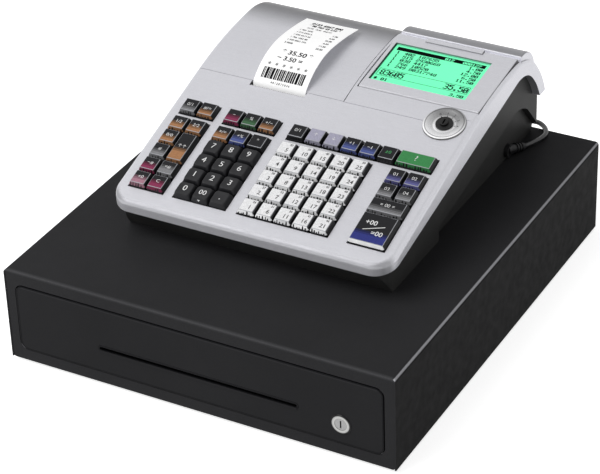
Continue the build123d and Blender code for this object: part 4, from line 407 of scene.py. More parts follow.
# Plain mouldings: colour, roughness, size and depth of the grain, and specular level.
MOULDINGS = {
    "base_black": ((0.038, 0.038, 0.0375), 0.5, 0.5, 0.03, 0.12),
    "frame_black": ((0.004, 0.004, 0.005), 0.6, 0.35, 0.02, 0.1),
    "tray_black": ((0.022, 0.022, 0.023), 0.55, 0.7, 0.04, 0.3),
    "rubber": ((0.012, 0.012, 0.012), 0.7, 0.5, 0.03, 0.3),
    "switch_black": ((0.004, 0.004, 0.004), 0.4, 0.4, 0.01, 0.25),
    "mat": ((0.42, 0.42, 0.43), 0.65, 0.5, 0.02, 0.5),
    "board": ((0.02, 0.14, 0.05), 0.35, 1.2, 0.02, 0.5),
    "ceramic": ((0.62, 0.61, 0.55), 0.3, 0.4, 0.01, 0.5),
    "platen": ((0.018, 0.018, 0.018), 0.6, 0.3, 0.02, 0.5),
    "ink": (INK, 0.7, 0.3, 0.004, 0.05),
    "tie": ((0.012, 0.012, 0.013), 0.5, 0.6, 0.02, 0.3),
    "pane": ((0.006, 0.022, 0.018), 0.12, 3.0, 0.001, 0.5),
    "cord": ((0.018, 0.018, 0.02), 0.3, 0.8, 0.02, 0.5),
    "boot": ((0.009, 0.009, 0.010), 0.45, 0.6, 0.02, 0.25),
    "lcd_rim": ((0.05, 0.22, 0.15), 0.35, 0.4, 0.002, 0.5),
    "lcd_ink": ((0.001, 0.003, 0.002), 0.6, 0.4, 0.002, 0.02),
    "key_side": ((0.007, 0.007, 0.008), 0.35, 0.4, 0.01, 0.25),
    "digit_key": ((0.0105, 0.0105, 0.0125), 0.42, 0.3, 0.012, 0.25),
}


def insert_name(color, level=0):
    return f"insert_{color}_{level}"


def build_finishes():
    silver_paint("silver", RIGHT_TURN_LIGHT, dark_wall, FRONT_TURN_SHADE, FRONT_LIP_LIGHT)
    silver_paint("silver_cover", CREST_SHADE, REAR_PAINTED_LIFT)
    silver_paint("silver_bezel", BEZEL_SIDE_SHADE, BEZEL_FRONT_SHADE, BEZEL_REAR_HIGHLIGHT)
    silver_paint("silver_cap", CAP_LIGHT_AND_SHADE)
    powder_coat("case_paint", (0.026, 0.026, 0.0275), 0.5, front_edge, CASE_FRONT_LIGHT, CASE_SIDES_SHADE)
    powder_coat("front_paint", (0.0245, 0.0245, 0.026), 0.5, PANEL_GAP_SHADE, panel_edge)
    metal("steel", (0.48, 0.48, 0.49), 0.3, (1, 0.05, 1))
    galvanised("zinc")
    lock_face("lock_nickel")
    metal("plug_nickel", (0.30, 0.30, 0.30), 0.3, (1, 0.2, 1), 0.2, 0.006)
    switch_face("switch_silver")
    wound_paper("paper_roll")
    lcd_glow("digits")
    lcd_glow("lcd")
    # The paper glows faintly: painted light that makes it brighter than the lamps make it.
    moulded("paper", (0.95, 0.95, 0.95), 0.62, 0.25, 0.01, 0.01, specular=0.2,
            Emission_Color=(1, 1, 1), Emission_Strength=0.16)
    # Painted highlight: the light rim of a clear key cap.
    moulded("clear_edge", (0.42, 0.43, 0.46), 0.2, 0.6, 0.01, Coat_Weight=0.5)
    moulded("clear_side", (0.05, 0.05, 0.055), 0.25, 0.8, 0.02, 0.5, Coat_Weight=0.3)
    # Light front of a clear cap: the white insert's own colour on department keys, and a painted highlight on
    # the cash key.
    moulded("clear_front", (0.80, 0.81, 0.83), 0.25, 0.8, 0.03, 0.3)
    for name, (color, roughness, grain, depth, specular) in MOULDINGS.items():
        moulded(name, color, roughness, grain, depth, specular=specular)
    for name, color in LEGEND_COLORS.items():
        moulded(name, color, 0.45, 0.3, 0.002)
    for name, color in INSERT_COLORS.items():
        for level, share in enumerate(INSERT_LEVELS):
            moulded(insert_name(name, level), shade(color, share), 0.4, 0.5, 0.003, 0.14, 1.3, specular=0.15)


# ---- mesh code
def add_object(name, data):
    made = bpy.data.objects.new(name, data)
    bpy.context.scene.collection.objects.link(made)
    return made


class Shape:
    """Collects the faces of one piece, in millimetres, with a finish for each."""

    def __init__(self):
        self.points = []
        self.faces = []
        self.finishes = []

    def add(self, points, faces, finish, place=None):
        start = len(self.points)
        place = place or Matrix.Identity(4)
        self.points += [place @ Vector(point) for point in points]
        self.faces += [[start + i for i in face] for face in faces]
        self.finishes += [finish] * len(faces)

    def loft(self, rings, finishes, place=None, close=True, start=False):
        """Skin through rings of equal point count. A finish is a name, or a function of the side's middle."""
        count = len(rings[0])
        for lower, upper, finish in zip(rings, rings[1:], finishes):
            points = list(lower) + list(upper)
            for i in range(count):
                j = (i + 1) % count
                side = finish
                if callable(finish):
                    middle = (Vector(lower[i]) + Vector(lower[j])) / 2
                    side = finish(middle)
                quad = [points[i], points[j], points[count + j], points[count + i]]
                self.add(quad, [[0, 1, 2, 3]], side, place)
        if close:
            self.add(rings[-1], [list(range(count))], finishes[len(rings) - 1], place)
        if start:
            self.add(rings[0], [list(reversed(range(count)))], finishes[0], place)

    def piece(self, name, body, slot, angle=35):
        """The finished object, which rides on body."""
        mesh = bpy.data.meshes.new(name)
        mesh.from_pydata([point * MM for point in self.points], [], self.faces)
        used = sorted(set(self.finishes))
        for finish in used:
            mesh.materials.append(FINISHES[finish])
        for polygon, finish in zip(mesh.polygons, self.finishes):
            polygon.material_index = used.index(finish)
        work = bmesh.new()
        work.from_mesh(mesh)
        bmesh.ops.remove_doubles(work, verts=work.verts, dist=0.002 * MM)
        work.to_mesh(mesh)
        work.free()
        mesh.shade_smooth()
        mesh.set_sharp_from_angle(angle=math.radians(angle))
        made = add_object(name, mesh)
        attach(made, body)
        return made


def rounded_rect(x, s, width, depth, radius, n, steps=4):
    """Ring of points round a rectangle with round corners, at height n."""
    radius = max(0.05, min(radius, width / 2 - 0.05, depth / 2 - 0.05))
    ring = []
    for quarter, (sx, sy) in enumerate(((1, 1), (-1, 1), (-1, -1), (1, -1))):
        cx = x + sx * (width / 2 - radius)
        cy = s + sy * (depth / 2 - radius)
        for i in range(steps + 1):
            turn = math.radians(90 * (quarter + i / steps))
            ring.append((cx + radius * math.cos(turn), cy + radius * math.sin(turn), n))
    return ring


GLYPHS = {}


def glyph_mesh(text, bold):
    """Points and faces of a text one unit high, centred, in the built-in font."""
    if (text, bold) not in GLYPHS:
        curve = bpy.data.curves.new("glyph", "FONT")
        curve.body = text
        curve.align_x = "CENTER"
        curve.align_y = "CENTER"
        curve.resolution_u = 3
        curve.offset = bold
        holder = add_object("glyph", curve)
        bpy.context.view_layer.update()
        mesh = bpy.data.meshes.new_from_object(holder)
        GLYPHS[(text, bold)] = [tuple(v.co) for v in mesh.vertices], [list(p.vertices) for p in mesh.polygons]
        bpy.data.objects.remove(holder)
        bpy.data.meshes.remove(mesh)
        bpy.data.curves.remove(curve)
    return GLYPHS[(text, bold)]


def write(shape, text, x, s, size, finish="legend_white", bold=0.0, squeeze=1.0, n=KEY_TOP):
    """Legend flat on the keys, centred at (x, s)."""
    points, faces = glyph_mesh(text, bold)
    moved = [(x + px * size * squeeze, s + py * size, n) for px, py, _ in points]
    shape.add(moved, faces, finish, DECK)


def bar(shape, x0, x1, s0, s1, n, finish, place):
    """Flat rectangle on a plane."""
    shape.add([(x0, s0, n), (x1, s0, n), (x1, s1, n), (x0, s1, n)], [[0, 1, 2, 3]], finish, place)


# ---- keys
def cell(block, column, row, wide=1, high=1):
    """Middle and size of a key: row 0 is the top row, and the block's rows count from 1."""
    centre, columns = block
    x = centre + (column + (wide - columns) / 2) * KEY_PITCH
    s = TOP_ROW_S if row == 0 else BLOCK_TOP_S - (row - 1 + high / 2) * KEY_PITCH
    return x, s, wide * KEY_PITCH - KEY_GAP, high * KEY_PITCH - KEY_GAP


def key_ring(place, inset, n, corner=None):
    x, s, width, depth = place
    radius = max(0.4, KEY_CORNER - inset) if corner is None else corner
    return rounded_rect(x, s, width - 2 * inset, depth - 2 * inset, radius, n)


def clear_key(shape, place, color, reach=None, front_clear=False):
    """Key with an insert under a clear cap. The colour fills it, or reaches part of the way up to black."""
    x, s, width, depth = place
    front = s - depth / 2
    cap_n = KEY_TOP - 0.04
    # White and cash keys take the light front, which is partly a painted highlight.
    face = "clear_front" if front_clear or color == "white" else insert_name(color, 1)
    flank = "clear_side" if color == "white" else "key_side"

    def side(middle):
        if middle.y < front + 1.2:
            return face
        return flank if abs(middle.x - x) > width / 4 else "key_side"

    def foot_side(middle):
        return face if middle.y < front + 1.2 else "key_side"

    low_share = 0.95 if front_clear else 0.62
    mid_n = KEY_TOP - (KEY_TOP - KEY_SHOULDER) * low_share
    mid_inset = (mid_n - KEY_SHOULDER) / (KEY_TOP - KEY_SHOULDER) * KEY_INSET
    rings = [
        key_ring(place, 0, KEY_BOTTOM),
        key_ring(place, 0, KEY_FOOT),
        key_ring(place, 0, KEY_SHOULDER - 0.2),
        key_ring(place, 0.08, KEY_SHOULDER + 0.1),
        key_ring(place, mid_inset, mid_n),
        key_ring(place, KEY_INSET - 0.22, KEY_TOP - 0.45),
        key_ring(place, KEY_INSET + 0.08, cap_n),
        key_ring(place, KEY_INSET + CAP_RIM, cap_n),
    ]
    # The cap's upper rim is a painted highlight.
    finishes = ["key_side", "key_side", foot_side, foot_side, side, "clear_edge", "clear_edge"]
    shape.loft(rings, finishes, DECK, close=False)
    top_width = width - 2 * (KEY_INSET + CAP_RIM)
    top_depth = depth - 2 * (KEY_INSET + CAP_RIM)
    x0, x1 = x - top_width / 2, x + top_width / 2
    s0, s1 = s - top_depth / 2, s + top_depth / 2
    if not reach:
        bar(shape, x0, x1, s0, s1, cap_n, insert_name(color), DECK)
        return
    middle = s0 + top_depth * reach * COLOR_REACH
    fade = min(2.2, 0.35 * (middle - s0))
    bar(shape, x0, x1, middle, s1, cap_n, insert_name("black"), DECK)
    bar(shape, x0, x1, middle - fade, middle, cap_n, insert_name(color, 2), DECK)
    bar(shape, x0, x1, middle - 2 * fade, middle - fade, cap_n, insert_name(color, 1), DECK)
    bar(shape, x0, x1, s0, middle - 2 * fade, cap_n, insert_name(color), DECK)


def front_marks(shape, place, generator):
    """Painted reflections: dark glints on the clear front of the cap."""
    x, s, width, depth = place

    def on_front(u, n):
        inset = KEY_INSET * max(0, n - KEY_SHOULDER) / (KEY_TOP - KEY_SHOULDER)
        return u, s - depth / 2 + inset - 0.13, n

    bottom, bend = KEY_FOOT + 0.1, KEY_SHOULDER + 0.1
    spot = x - width / 2 + 2.0
    while spot < x + width / 2 - 3.0:
        wide = generator.uniform(0.9, 2.0)
        top = generator.uniform(KEY_SHOULDER + 0.6, KEY_TOP - 0.5)
        left, right = spot + wide * 0.15, spot + wide * 0.85
        low = ((spot, bottom), (spot + wide, bottom), (spot + wide, bend), (spot, bend))
        high = ((spot, bend), (spot + wide, bend), (right, top), (left, top))
        for corners in (low, high):
            shape.add([on_front(u, n) for u, n in corners], [[0, 1, 2, 3]], "key_side", DECK)
        spot += wide + generator.uniform(0.6, 2.2)


def digit_key(shape, place):
    """Moulded key with a dished top."""
    rings = [
        key_ring(place, 0.0, KEY_BOTTOM),
        key_ring(place, 0.0, 0.6),
        key_ring(place, 0.25, 1.4),
        key_ring(place, 1.35, KEY_TOP - 0.7, 3.0),
        key_ring(place, 1.75, KEY_TOP - 0.12, 3.2),
        key_ring(place, 2.3, KEY_TOP, 3.2),
        key_ring(place, 3.4, KEY_TOP - 0.18, 3.2),
        key_ring(place, 5.2, KEY_TOP - 0.42, 3.0),
        key_ring(place, 7.2, KEY_TOP - 0.52, 2.0),
    ]
    shape.loft(rings, ["digit_key"] * len(rings), DECK)


# Each node's keys: cell, colour, how far up the insert it reaches (None for all of it), and legend.
FUNCTION_KEYS = {
    "function_keys_top": [
        (cell(LEFT, 0, 0), "grey", 0.5, "0/1"),
        (cell(LEFT, 1, 0), "orange", 0.5, "#/="),
        (cell(NUMBERS, 0, 0), "crimson", 0.62, "−"),
        (cell(NUMBERS, 1, 0), "dark_green", 0.62, "%"),
        (cell(NUMBERS, 2, 0), "orange", 0.5, "+/−"),
        (cell(TOP, 0, 0), "black", None, "0/1"),
        (cell(TOP, 1, 0), "lavender", None, "↑"),
        (cell(TOP, 2, 0), "lavender", None, "↓"),
        (cell(TOP, 3, 0), "blue", 0.62, "+1"),
        (cell(TOP, 4, 0), "blue", 0.62, "−1"),
        (cell(TOP, 5, 0), "black", None, "±0"),
    ],
    "help_key": [(cell(TOP, 6, 0, 2), "green", None, "?")],
    "function_keys_left": [
        (cell(LEFT, 0, 1), "orange", 0.62, "1/2"),
        (cell(LEFT, 1, 1), "orange", 0.62, "2/2"),
        (cell(LEFT, 0, 2), "orange", 0.62, "0/0"),
        (cell(LEFT, 0, 3), "grey", 0.6, "#"),
        (cell(LEFT, 0, 4), "crimson", 0.62, "−#"),
        (cell(LEFT, 1, 4), "grey", 0.75, "=#"),
        (cell(LEFT, 0, 5), "pink", 0.7, "×0"),
        (cell(LEFT, 1, 5), "crimson", 0.7, "C"),
    ],
    "receipt_key": [(cell(LEFT, 1, 2, 1, 2), "orange", 0.5, "↑↑")],
    "function_keys_numeric": [
        (cell(NUMBERS, 0, 1), "orange", 0.62, "×/="),
        (cell(NUMBERS, 1, 1), "blue", 0.62, "+%"),
        (cell(NUMBERS, 2, 1), "black", None, "*"),
    ],
    "function_keys_right": [
        (cell(RIGHT, 0, 1), "violet", 0.5, "01"),
        (cell(RIGHT, 1, 1), "violet", 0.55, "02"),
        (cell(RIGHT, 0, 2), "grey", 0.55, "03"),
        (cell(RIGHT, 1, 2), "grey", 0.55, "04"),
    ],
    "subtotal_key": [(cell(RIGHT, 0, 3, 2), "grey", 0.5, "= 00 =")],
    "cash_key": [(cell(RIGHT, 0, 4, 2, 2), "navy", 0.42, "")],
}
DIGIT_KEYS = (("7", "8", "9"), ("4", "5", "6"), ("1", "2", "3"), ("0", "00", "."))


def cash_legend(legends, x, s):
    """Two signs with a slanting line between them."""
    diagonal = ((-10.0, -3.2), (-9.6, -3.9), (10.0, 3.9), (9.6, 4.6))
    legends.add([(x + u, s + v, KEY_TOP) for u, v in diagonal], [[0, 1, 2, 3]], "legend_white", DECK)
    write(legends, "+00", x - 5.0, s + 6.0, 7.6, bold=0.012)
    write(legends, "=00", x + 5.4, s - 5.4, 7.6, bold=0.012)


def pointer(legends, x, foot):
    """Small triangle on the front of a key."""
    corners = [(x - 1.7, foot + 1.0, 4.0), (x, foot + 0.5, 2.3), (x + 1.7, foot + 1.0, 4.0)]
    legends.add(corners, [[0, 1, 2]], "legend_white", DECK)


def build_keys():
    """Every key as a detailed mesh with its legend."""
    groups = {}
    generator = random.Random(7)

    def start(node):
        groups[node] = (Shape(), Shape())
        return groups[node]

    for node, keys in FUNCTION_KEYS.items():
        body, legends = start(node)
        for place, color, reach, mark in keys:
            x, s, _, _ = place
            clear_key(body, place, color, reach, front_clear=node == "cash_key")
            if node == "cash_key":
                cash_legend(legends, x, s)
                continue
            front_marks(body, place, generator)
            ink = "legend_green" if mark == "±0" else "legend_white"
            size = 9.0 if mark == "?" else 5.4
            write(legends, mark, x, s + 0.6, size, ink, -0.004, 1.05)
    for row, marks in enumerate(DIGIT_KEYS):
        body, legends = start(f"number_keys_row_{row + 1}")
        for column, mark in enumerate(marks):
            place = x, s, _, depth = cell(NUMBERS, column, row + 2)
            digit_key(body, place)
            write(legends, mark, x, s + 0.8, 10.8 - 1.4 * len(mark), n=KEY_TOP - 0.4)
            if mark == "00":
                pointer(legends, x, s - depth / 2)
    for row in range(5):
        body, legends = start(f"department_keys_row_{row + 1}")
        for column in range(5):
            place = x, s, _, _ = cell(DEPARTMENTS, column, row + 1)
            clear_key(body, place, "white")
            front_marks(body, place, generator)
            number = 5 * column + 5 - row
            write(legends, str(number), x + 2.0, s - 2.4, 6.6, "legend_black", 0.012)
            write(legends, str(number + 25), x + 4.0, s + 4.6, 3.4, "legend_grey", 0.03)
    for node, (body, legends) in groups.items():
        made = body.piece(node + "_tops", node, "keycap")
        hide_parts(node)
        legends.piece(node + "_legends", node, "keycap")


# ---- display
# Window of the LCD in the display's plane: left, right, foot, top and height.
LCD_X0, LCD_X1, LCD_V0, LCD_V1, LCD_N = 21.8, 124.9, 14.2, 76.5, -2.0
# Pitch of the dots, width of a dot against it, and dots from one character to the next.
DOT = 0.62
DOT_BOLD = 1.75
CHARACTER_DOTS = 6
DOT_ROWS = {
    "0": "01110 10001 10011 10101 11001 10001 01110",
    "1": "00100 01100 00100 00100 00100 00100 01110",
    "2": "01110 10001 00001 00110 01000 10000 11111",
    "3": "11110 00001 00001 01110 00001 00001 11110",
    "4": "00010 00110 01010 10010 11111 00010 00010",
    "5": "11111 10000 11110 00001 00001 10001 01110",
    "6": "00110 01000 10000 11110 10001 10001 01110",
    "7": "11111 00001 00010 00100 01000 01000 01000",
    "8": "01110 10001 10001 01110 10001 10001 01110",
    "9": "01110 10001 10001 01111 00001 00010 01100",
    ".": "00000 00000 00000 00000 00000 01100 01100",
    "*": "00100 10101 01110 11111 01110 10101 00100",
}


def dot_text(shape, text, x, v, finish="lcd_ink", dot=DOT, tall=1.0):
    """Dot-matrix text whose lower left corner is at (x, v) on the display."""
    n = LCD_N + 0.04
    for index, character in enumerate(text):
        rows = DOT_ROWS.get(character, "").split()
        for row, bits in enumerate(rows):
            top = v + (len(rows) - row) * dot * tall
            for column, bit in enumerate(bits):
                if bit == "1":
                    left = x + (index * CHARACTER_DOTS + column) * dot
                    bar(shape, left, left + dot * DOT_BOLD, top - dot * tall * 1.1, top, n, finish, DISPLAY)


def text_width(text, dot=DOT):
    return (len(text) * CHARACTER_DOTS - 1) * dot


def outline(shape, x0, x1, v0, v1, n, finish, line=0.5):
    """Four bars round a rectangle on the display."""
    for low, high in ((v0, v0 + line), (v1 - line, v1)):
        bar(shape, x0, x1, low, high, n, finish, DISPLAY)
    for edge in (x0, x1 - line):
        bar(shape, edge, edge + line, v0, v1, n, finish, DISPLAY)


def build_lcd():
    """Characters on the LCD: a dark head bar, six rows of figures, and a framed sum."""
    shape = Shape()
    n = LCD_N + 0.02
    left, right = LCD_X0 + 4.0, LCD_X1 - 4.0
    head = LCD_V1 - 8.8
    bar(shape, left, right, head, head + 5.4, n, "lcd_ink", DISPLAY)
    dot_text(shape, "012", left + 52, head + 0.6, "lcd", 0.55)
    dot_text(shape, "000127", right - 24, head + 0.6, "lcd", 0.55)
    items = (
        ("1", "402 187655", "1.00"),
        ("1", "515 2930668", "4.50"),
        ("1", "038 4417", "12.00"),
        ("1", "766 10520", "6.50"),
        ("1", "249 80317748", "11.50"),
    )
    pitch = 5.5
    v = head - 5.3
    for count, code, price in items:
        dot_text(shape, count, left + 2, v)
        dot_text(shape, code, left + 11, v)
        dot_text(shape, price, right - text_width(price) - 1, v)
        v -= pitch
    box_low = LCD_V0 + 10.4
    outline(shape, left - 1.5, right + 0.5, box_low, LCD_V0 + 21.8, n, "lcd_ink")
    sum_v, last_v = box_low + 1.7, LCD_V0 + 3.4
    dot_text(shape, "83605", left + 1, sum_v, dot=0.85, tall=1.35)
    dot_text(shape, "35.50", right - text_width("35.50", 0.85) - 1, sum_v, dot=0.85, tall=1.35)
    dot_text(shape, "* 01", left - 1, last_v)
    dot_text(shape, "3.50", right - text_width("3.50") - 1, last_v)
    outline(shape, LCD_X0 + 0.6, LCD_X1 - 0.6, LCD_V0 + 0.6, LCD_V1 - 0.6, LCD_N + 0.03, "lcd_rim")
    shape.piece("lcd_characters", "display", "lcd")


# Pane of the rear display: middle, reach and plane, seen from behind.
PANE_X, PANE_HALF, PANE_Y = 81.9, 47.4, 190.86
PANE_Z0, PANE_Z1 = CASE_TOP + 76.3, CASE_TOP + 93.7
SEGMENTS = {"0": "abcdef", "3": "abgcd", "5": "afgcd"}


def build_customer_display():
    """Dark pane of the rear display, with seven-segment figures that face the customer."""
    shape = Shape()
    turn = Matrix.Rotation(math.pi, 4, "Z") @ Matrix.Rotation(math.pi / 2, 4, "X")
    rear = Matrix.Translation((PANE_X, PANE_Y, 0)) @ turn
    bar(shape, -PANE_HALF, PANE_HALF, PANE_Z0, PANE_Z1, 0, "pane", rear)
    tall, wide, stroke = 5.2, 5.6, 1.0
    base = (PANE_Z0 + PANE_Z1) / 2 - tall
    strokes = {
        "a": (0, 2 * tall, wide, 2 * tall), "g": (0, tall, wide, tall), "d": (0, 0, wide, 0),
        "f": (0, tall, 0, 2 * tall), "e": (0, 0, 0, tall),
        "b": (wide, tall, wide, 2 * tall), "c": (wide, 0, wide, tall),
    }
    first = -20.0
    for index, digit in enumerate("3550"):
        x = first + index * 11.0 - wide / 2
        for name in SEGMENTS[digit]:
            u0, v0, u1, v1 = strokes[name]
            low_u, high_u = x + min(u0, u1) - stroke / 2, x + max(u0, u1) + stroke / 2
            bar(shape, low_u, high_u, base + v0 - stroke / 2, base + v1 + stroke / 2, 0.05, "digits", rear)
    bar(shape, first + 16.0, first + 17.2, base - 0.6, base + 0.6, 0.05, "digits", rear)
    shape.piece("customer_pane", "customer_display", "lcd")


def build_switch_marks():
    """Ticks and numbers round the key switch."""
    shape = Shape()
    ring, size = 13.4, 3.4

    def on_dish(radius, turn):
        n = -0.8 + radius**2 / 126 + 0.06
        return SWITCH_X + radius * math.sin(turn), SWITCH_S + radius * math.cos(turn), n

    for mark, degrees in (("0", -40), ("1", -8), ("2", 24), ("3", 56), ("4", 88)):
        turn = math.radians(degrees)
        points, faces = glyph_mesh(mark, 0.02)
        placed = [on_dish(ring + py * size, turn + px * size / ring) for px, py, _ in points]
        shape.add(placed, faces, "legend_black", DECK)
        corners = ((10.0, 0.04), (11.2, 0.04), (11.2, -0.04), (10.0, -0.04))
        tick = [on_dish(radius, turn + side) for radius, side in corners]
        shape.add(tick, [[0, 1, 2, 3]], "legend_black", DECK)
    shape.piece("switch_marks", "chassis", "switch_silver")


def front_trim(name, centre, size, sections, steps):
    """Black band on the drawer front that stands for painted shade: rings that stand out from a rounded
    rectangle, each at its height.
    """
    shape = Shape()
    width, height, corner = size
    rings = [
        rounded_rect(*centre, width + 2 * out, height + 2 * out, corner + out, n, steps)
        for out, n in sections
    ]
    shape.loft(rings, ["frame_black"] * len(rings), DRAWER_FRONT, close=False)
    shape.piece(name, "drawer", "frame_plastic")


def build_front_trim():
    """Black bands of painted shade: round the slot, and round the edge of the drawer front."""
    slot_shade_sections = ((2.0, 0.02), (1.8, 0.3), (0.1, 0.3), (-0.15, 0.1), (-0.15, -1.5))
    front_trim("slot_shade_band", (SLOT_X, SLOT_Z), SLOT_SIZE, slot_shade_sections, 4)
    gap_shade_sections = ((0.0, -1.0), (0.0, 0.1), (-0.25, 0.25), (-1.2, 0.25), (-1.3, 0.02))
    front_trim("panel_gap_shade_band", (0, PANEL_Z), PANEL_SIZE, gap_shade_sections, 6)


# ---- receipt
PAPER_X = -56.0
PAPER_WIDTH = 58.0
PAPER_THICKNESS = 0.2
PAPER_START = (41.85, CASE_TOP + 90.1)
# Bends of the strip from the outlet: first heading, radius and last heading.
PAPER_BENDS = ((90, 8.0, 43), (43, 80.0, 3), (3, 300.0, -6.3))
PAPER_LENGTH = sum(radius * math.radians(first - last) for first, radius, last in PAPER_BENDS)
# How far the free end stands to the right.
PAPER_DRIFT = 6.0


def paper_point(u, v, lift=0.0):
    """Point of the printed side: u across from the middle, v along from the outlet."""
    y, z = PAPER_START
    heading = math.radians(90)
    rest = max(0.0, v)
    for first, radius, last in PAPER_BENDS:
        start, end = math.radians(first), math.radians(last)
        run = radius * (start - end)
        turn = start - min(rest, run) / radius
        cy, cz = y + radius * math.sin(start), z - radius * math.cos(start)
        y, z = cy - radius * math.sin(turn), cz + radius * math.cos(turn)
        heading = turn
        if rest <= run:
            break
        rest -= run
    share = max(0.0, v) / PAPER_LENGTH
    x = PAPER_X + u + PAPER_DRIFT * share**2
    low = min(0.0, v)
    curl = 0.35 * share * (2 * u / PAPER_WIDTH) ** 2
    return (x, y - (lift + curl) * math.sin(heading), z + (lift + curl) * math.cos(heading) + low)


def paper_bar(shape, u0, u1, v0, v1):
    """Printed rectangle that follows the curl."""
    steps = max(1, math.ceil((v1 - v0) / 3))
    cuts = [v0 + (v1 - v0) * i / steps for i in range(steps + 1)]
    for low, high in zip(cuts, cuts[1:]):
        corners = [paper_point(u, v, 0.05) for u, v in ((u0, low), (u1, low), (u1, high), (u0, high))]
        shape.add(corners, [[0, 1, 2, 3]], "ink")


def paper_text(shape, text, u, v, size, bold=0.0, squeeze=1.0, align=0.5):
    """Printed text centred on u and v. align 0 sets its left edge at u, and 1 its right edge."""
    points, faces = glyph_mesh(text, bold)
    wide = max(p[0] for p in points) - min(p[0] for p in points)
    shift = (0.5 - align) * wide * size * squeeze
    placed = [paper_point(u + shift + px * size * squeeze, v + py * size, 0.05) for px, py, _ in points]
    shape.add(placed, faces, "ink")


def build_receipt():
    """Curled strip of paper, and its print."""
    sheet = Shape()
    columns, rows = 12, 60
    foot = -6.0
    stations = [foot] + [PAPER_LENGTH * i / rows for i in range(rows + 1)]
    for side, lift in ((1, 0.0), (-1, -PAPER_THICKNESS)):
        across = [PAPER_WIDTH * (i / columns - 0.5) for i in range(columns + 1)]
        points = [paper_point(u, v, lift) for v in stations for u in across]
        faces = []
        for j in range(len(stations) - 1):
            for i in range(columns):
                a = j * (columns + 1) + i
                quad = [a, a + 1, a + columns + 2, a + columns + 1]
                faces.append(quad if side > 0 else quad[::-1])
        sheet.add(points, faces, "paper")
    made = sheet.piece("receipt_paper", "printer_cover", "paper", 180)
    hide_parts("receipt")

    ink = Shape()
    generator = random.Random(4)
    half = 23.0
    u = -half
    while u < half:
        wide = generator.choice((0.8, 1.2, 1.8, 2.8))
        paper_bar(ink, u, min(half, u + wide), 9.0, 21.0)
        u += wide + generator.choice((0.5, 0.5, 0.9))
    paper_text(ink, "4 0 1 2 8 7 5 0 3 6", 0, 5.6, 2.8, 0.03)
    for u in (-20, -12, -4, 4, 12, 20):
        paper_text(ink, "*", u, 24.0, 8.0, 0.01)
    paper_text(ink, "* 35.50 *", 2, 42.5, 8.0, 0.025, 1.15)
    paper_text(ink, "− 3.50 =", -2, 34.0, 7.4, 0.025, 1.1)
    lines = (
        ("1 402 1876", "1.00"),
        ("1 515 2930 6", "4.50"),
        ("1 038 4417 25", "12.00"),
        ("1 766 1052 88", "6.50"),
        ("1 249 8031 774", "11.50"),
        ("5 0000", "35.50"),
    )
    v = 84.5
    for code, price in lines:
        paper_text(ink, code, -20, v, 3.6, 0.03, 0.9, 0)
        paper_text(ink, price, 22, v, 3.6, 0.04, 0.95, 1)
        v -= 5.7
    paper_text(ink, "01-02  12:30   000127", -2, 90.6, 3.2, 0.03, 0.95)
    paper_text(ink, "0123 4567 890", 0, 102.0, 5.6, 0.05, 1.0)
    paper_text(ink, "* 98 765 43 210 *", 0, 96.6, 5.0, 0.05, 0.95)
    ink.piece("receipt_print", "printer_cover", "paper")


# ---- camera and stage
# Camera: its direction from the object and its roll in degrees, distance, aim and lens.
AZIMUTH, ELEVATION, ROLL = (math.radians(angle) for angle in (29.5365, 32.0748, -2.0391))
CAMERA_DISTANCE = 2396.31
CAMERA_AIM = Vector((-14.87, 0, 59.265))
LENS = 146.43
SENSOR = 36.0

# World's light on the object, colour of the floor, and glow that whitens the floor where it is seen.
WORLD_LIGHT = 0.38
FLOOR_GREY = 0.86
FLOOR_GLOW = 0.75
FLOOR_HALF = 12.0


def build_camera():
    back = Vector((
        math.sin(AZIMUTH) * math.cos(ELEVATION),
        -math.cos(AZIMUTH) * math.cos(ELEVATION),
        math.sin(ELEVATION),
    ))
    right = Vector((0, 0, 1)).cross(back).normalized()
    up = back.cross(right)
    rolled = math.cos(ROLL) * right + math.sin(ROLL) * up
    upright = -math.sin(ROLL) * right + math.cos(ROLL) * up
    data = bpy.data.cameras.new("camera")
    data.lens = LENS
    data.sensor_width = SENSOR
    data.clip_end = 50
    camera = add_object("camera", data)
    turn = Matrix((rolled, upright, back)).transposed().to_4x4()
    camera.matrix_world = Matrix.Translation((CAMERA_AIM + back * CAMERA_DISTANCE) * MM) @ turn
    bpy.context.scene.camera = camera


def light_path(tree):
    """1 for rays that see the background: from the camera, in gloss and through glass."""
    path = tree.nodes.new("ShaderNodeLightPath")
    total = path.outputs["Is Camera Ray"]
    for name in ("Is Glossy Ray", "Is Transmission Ray"):
        add = tree.nodes.new("ShaderNodeMath")
        add.operation = "MAXIMUM"
        tree.links.new(total, add.inputs[0])
        tree.links.new(path.outputs[name], add.inputs[1])
        total = add.outputs["Value"]
    return total


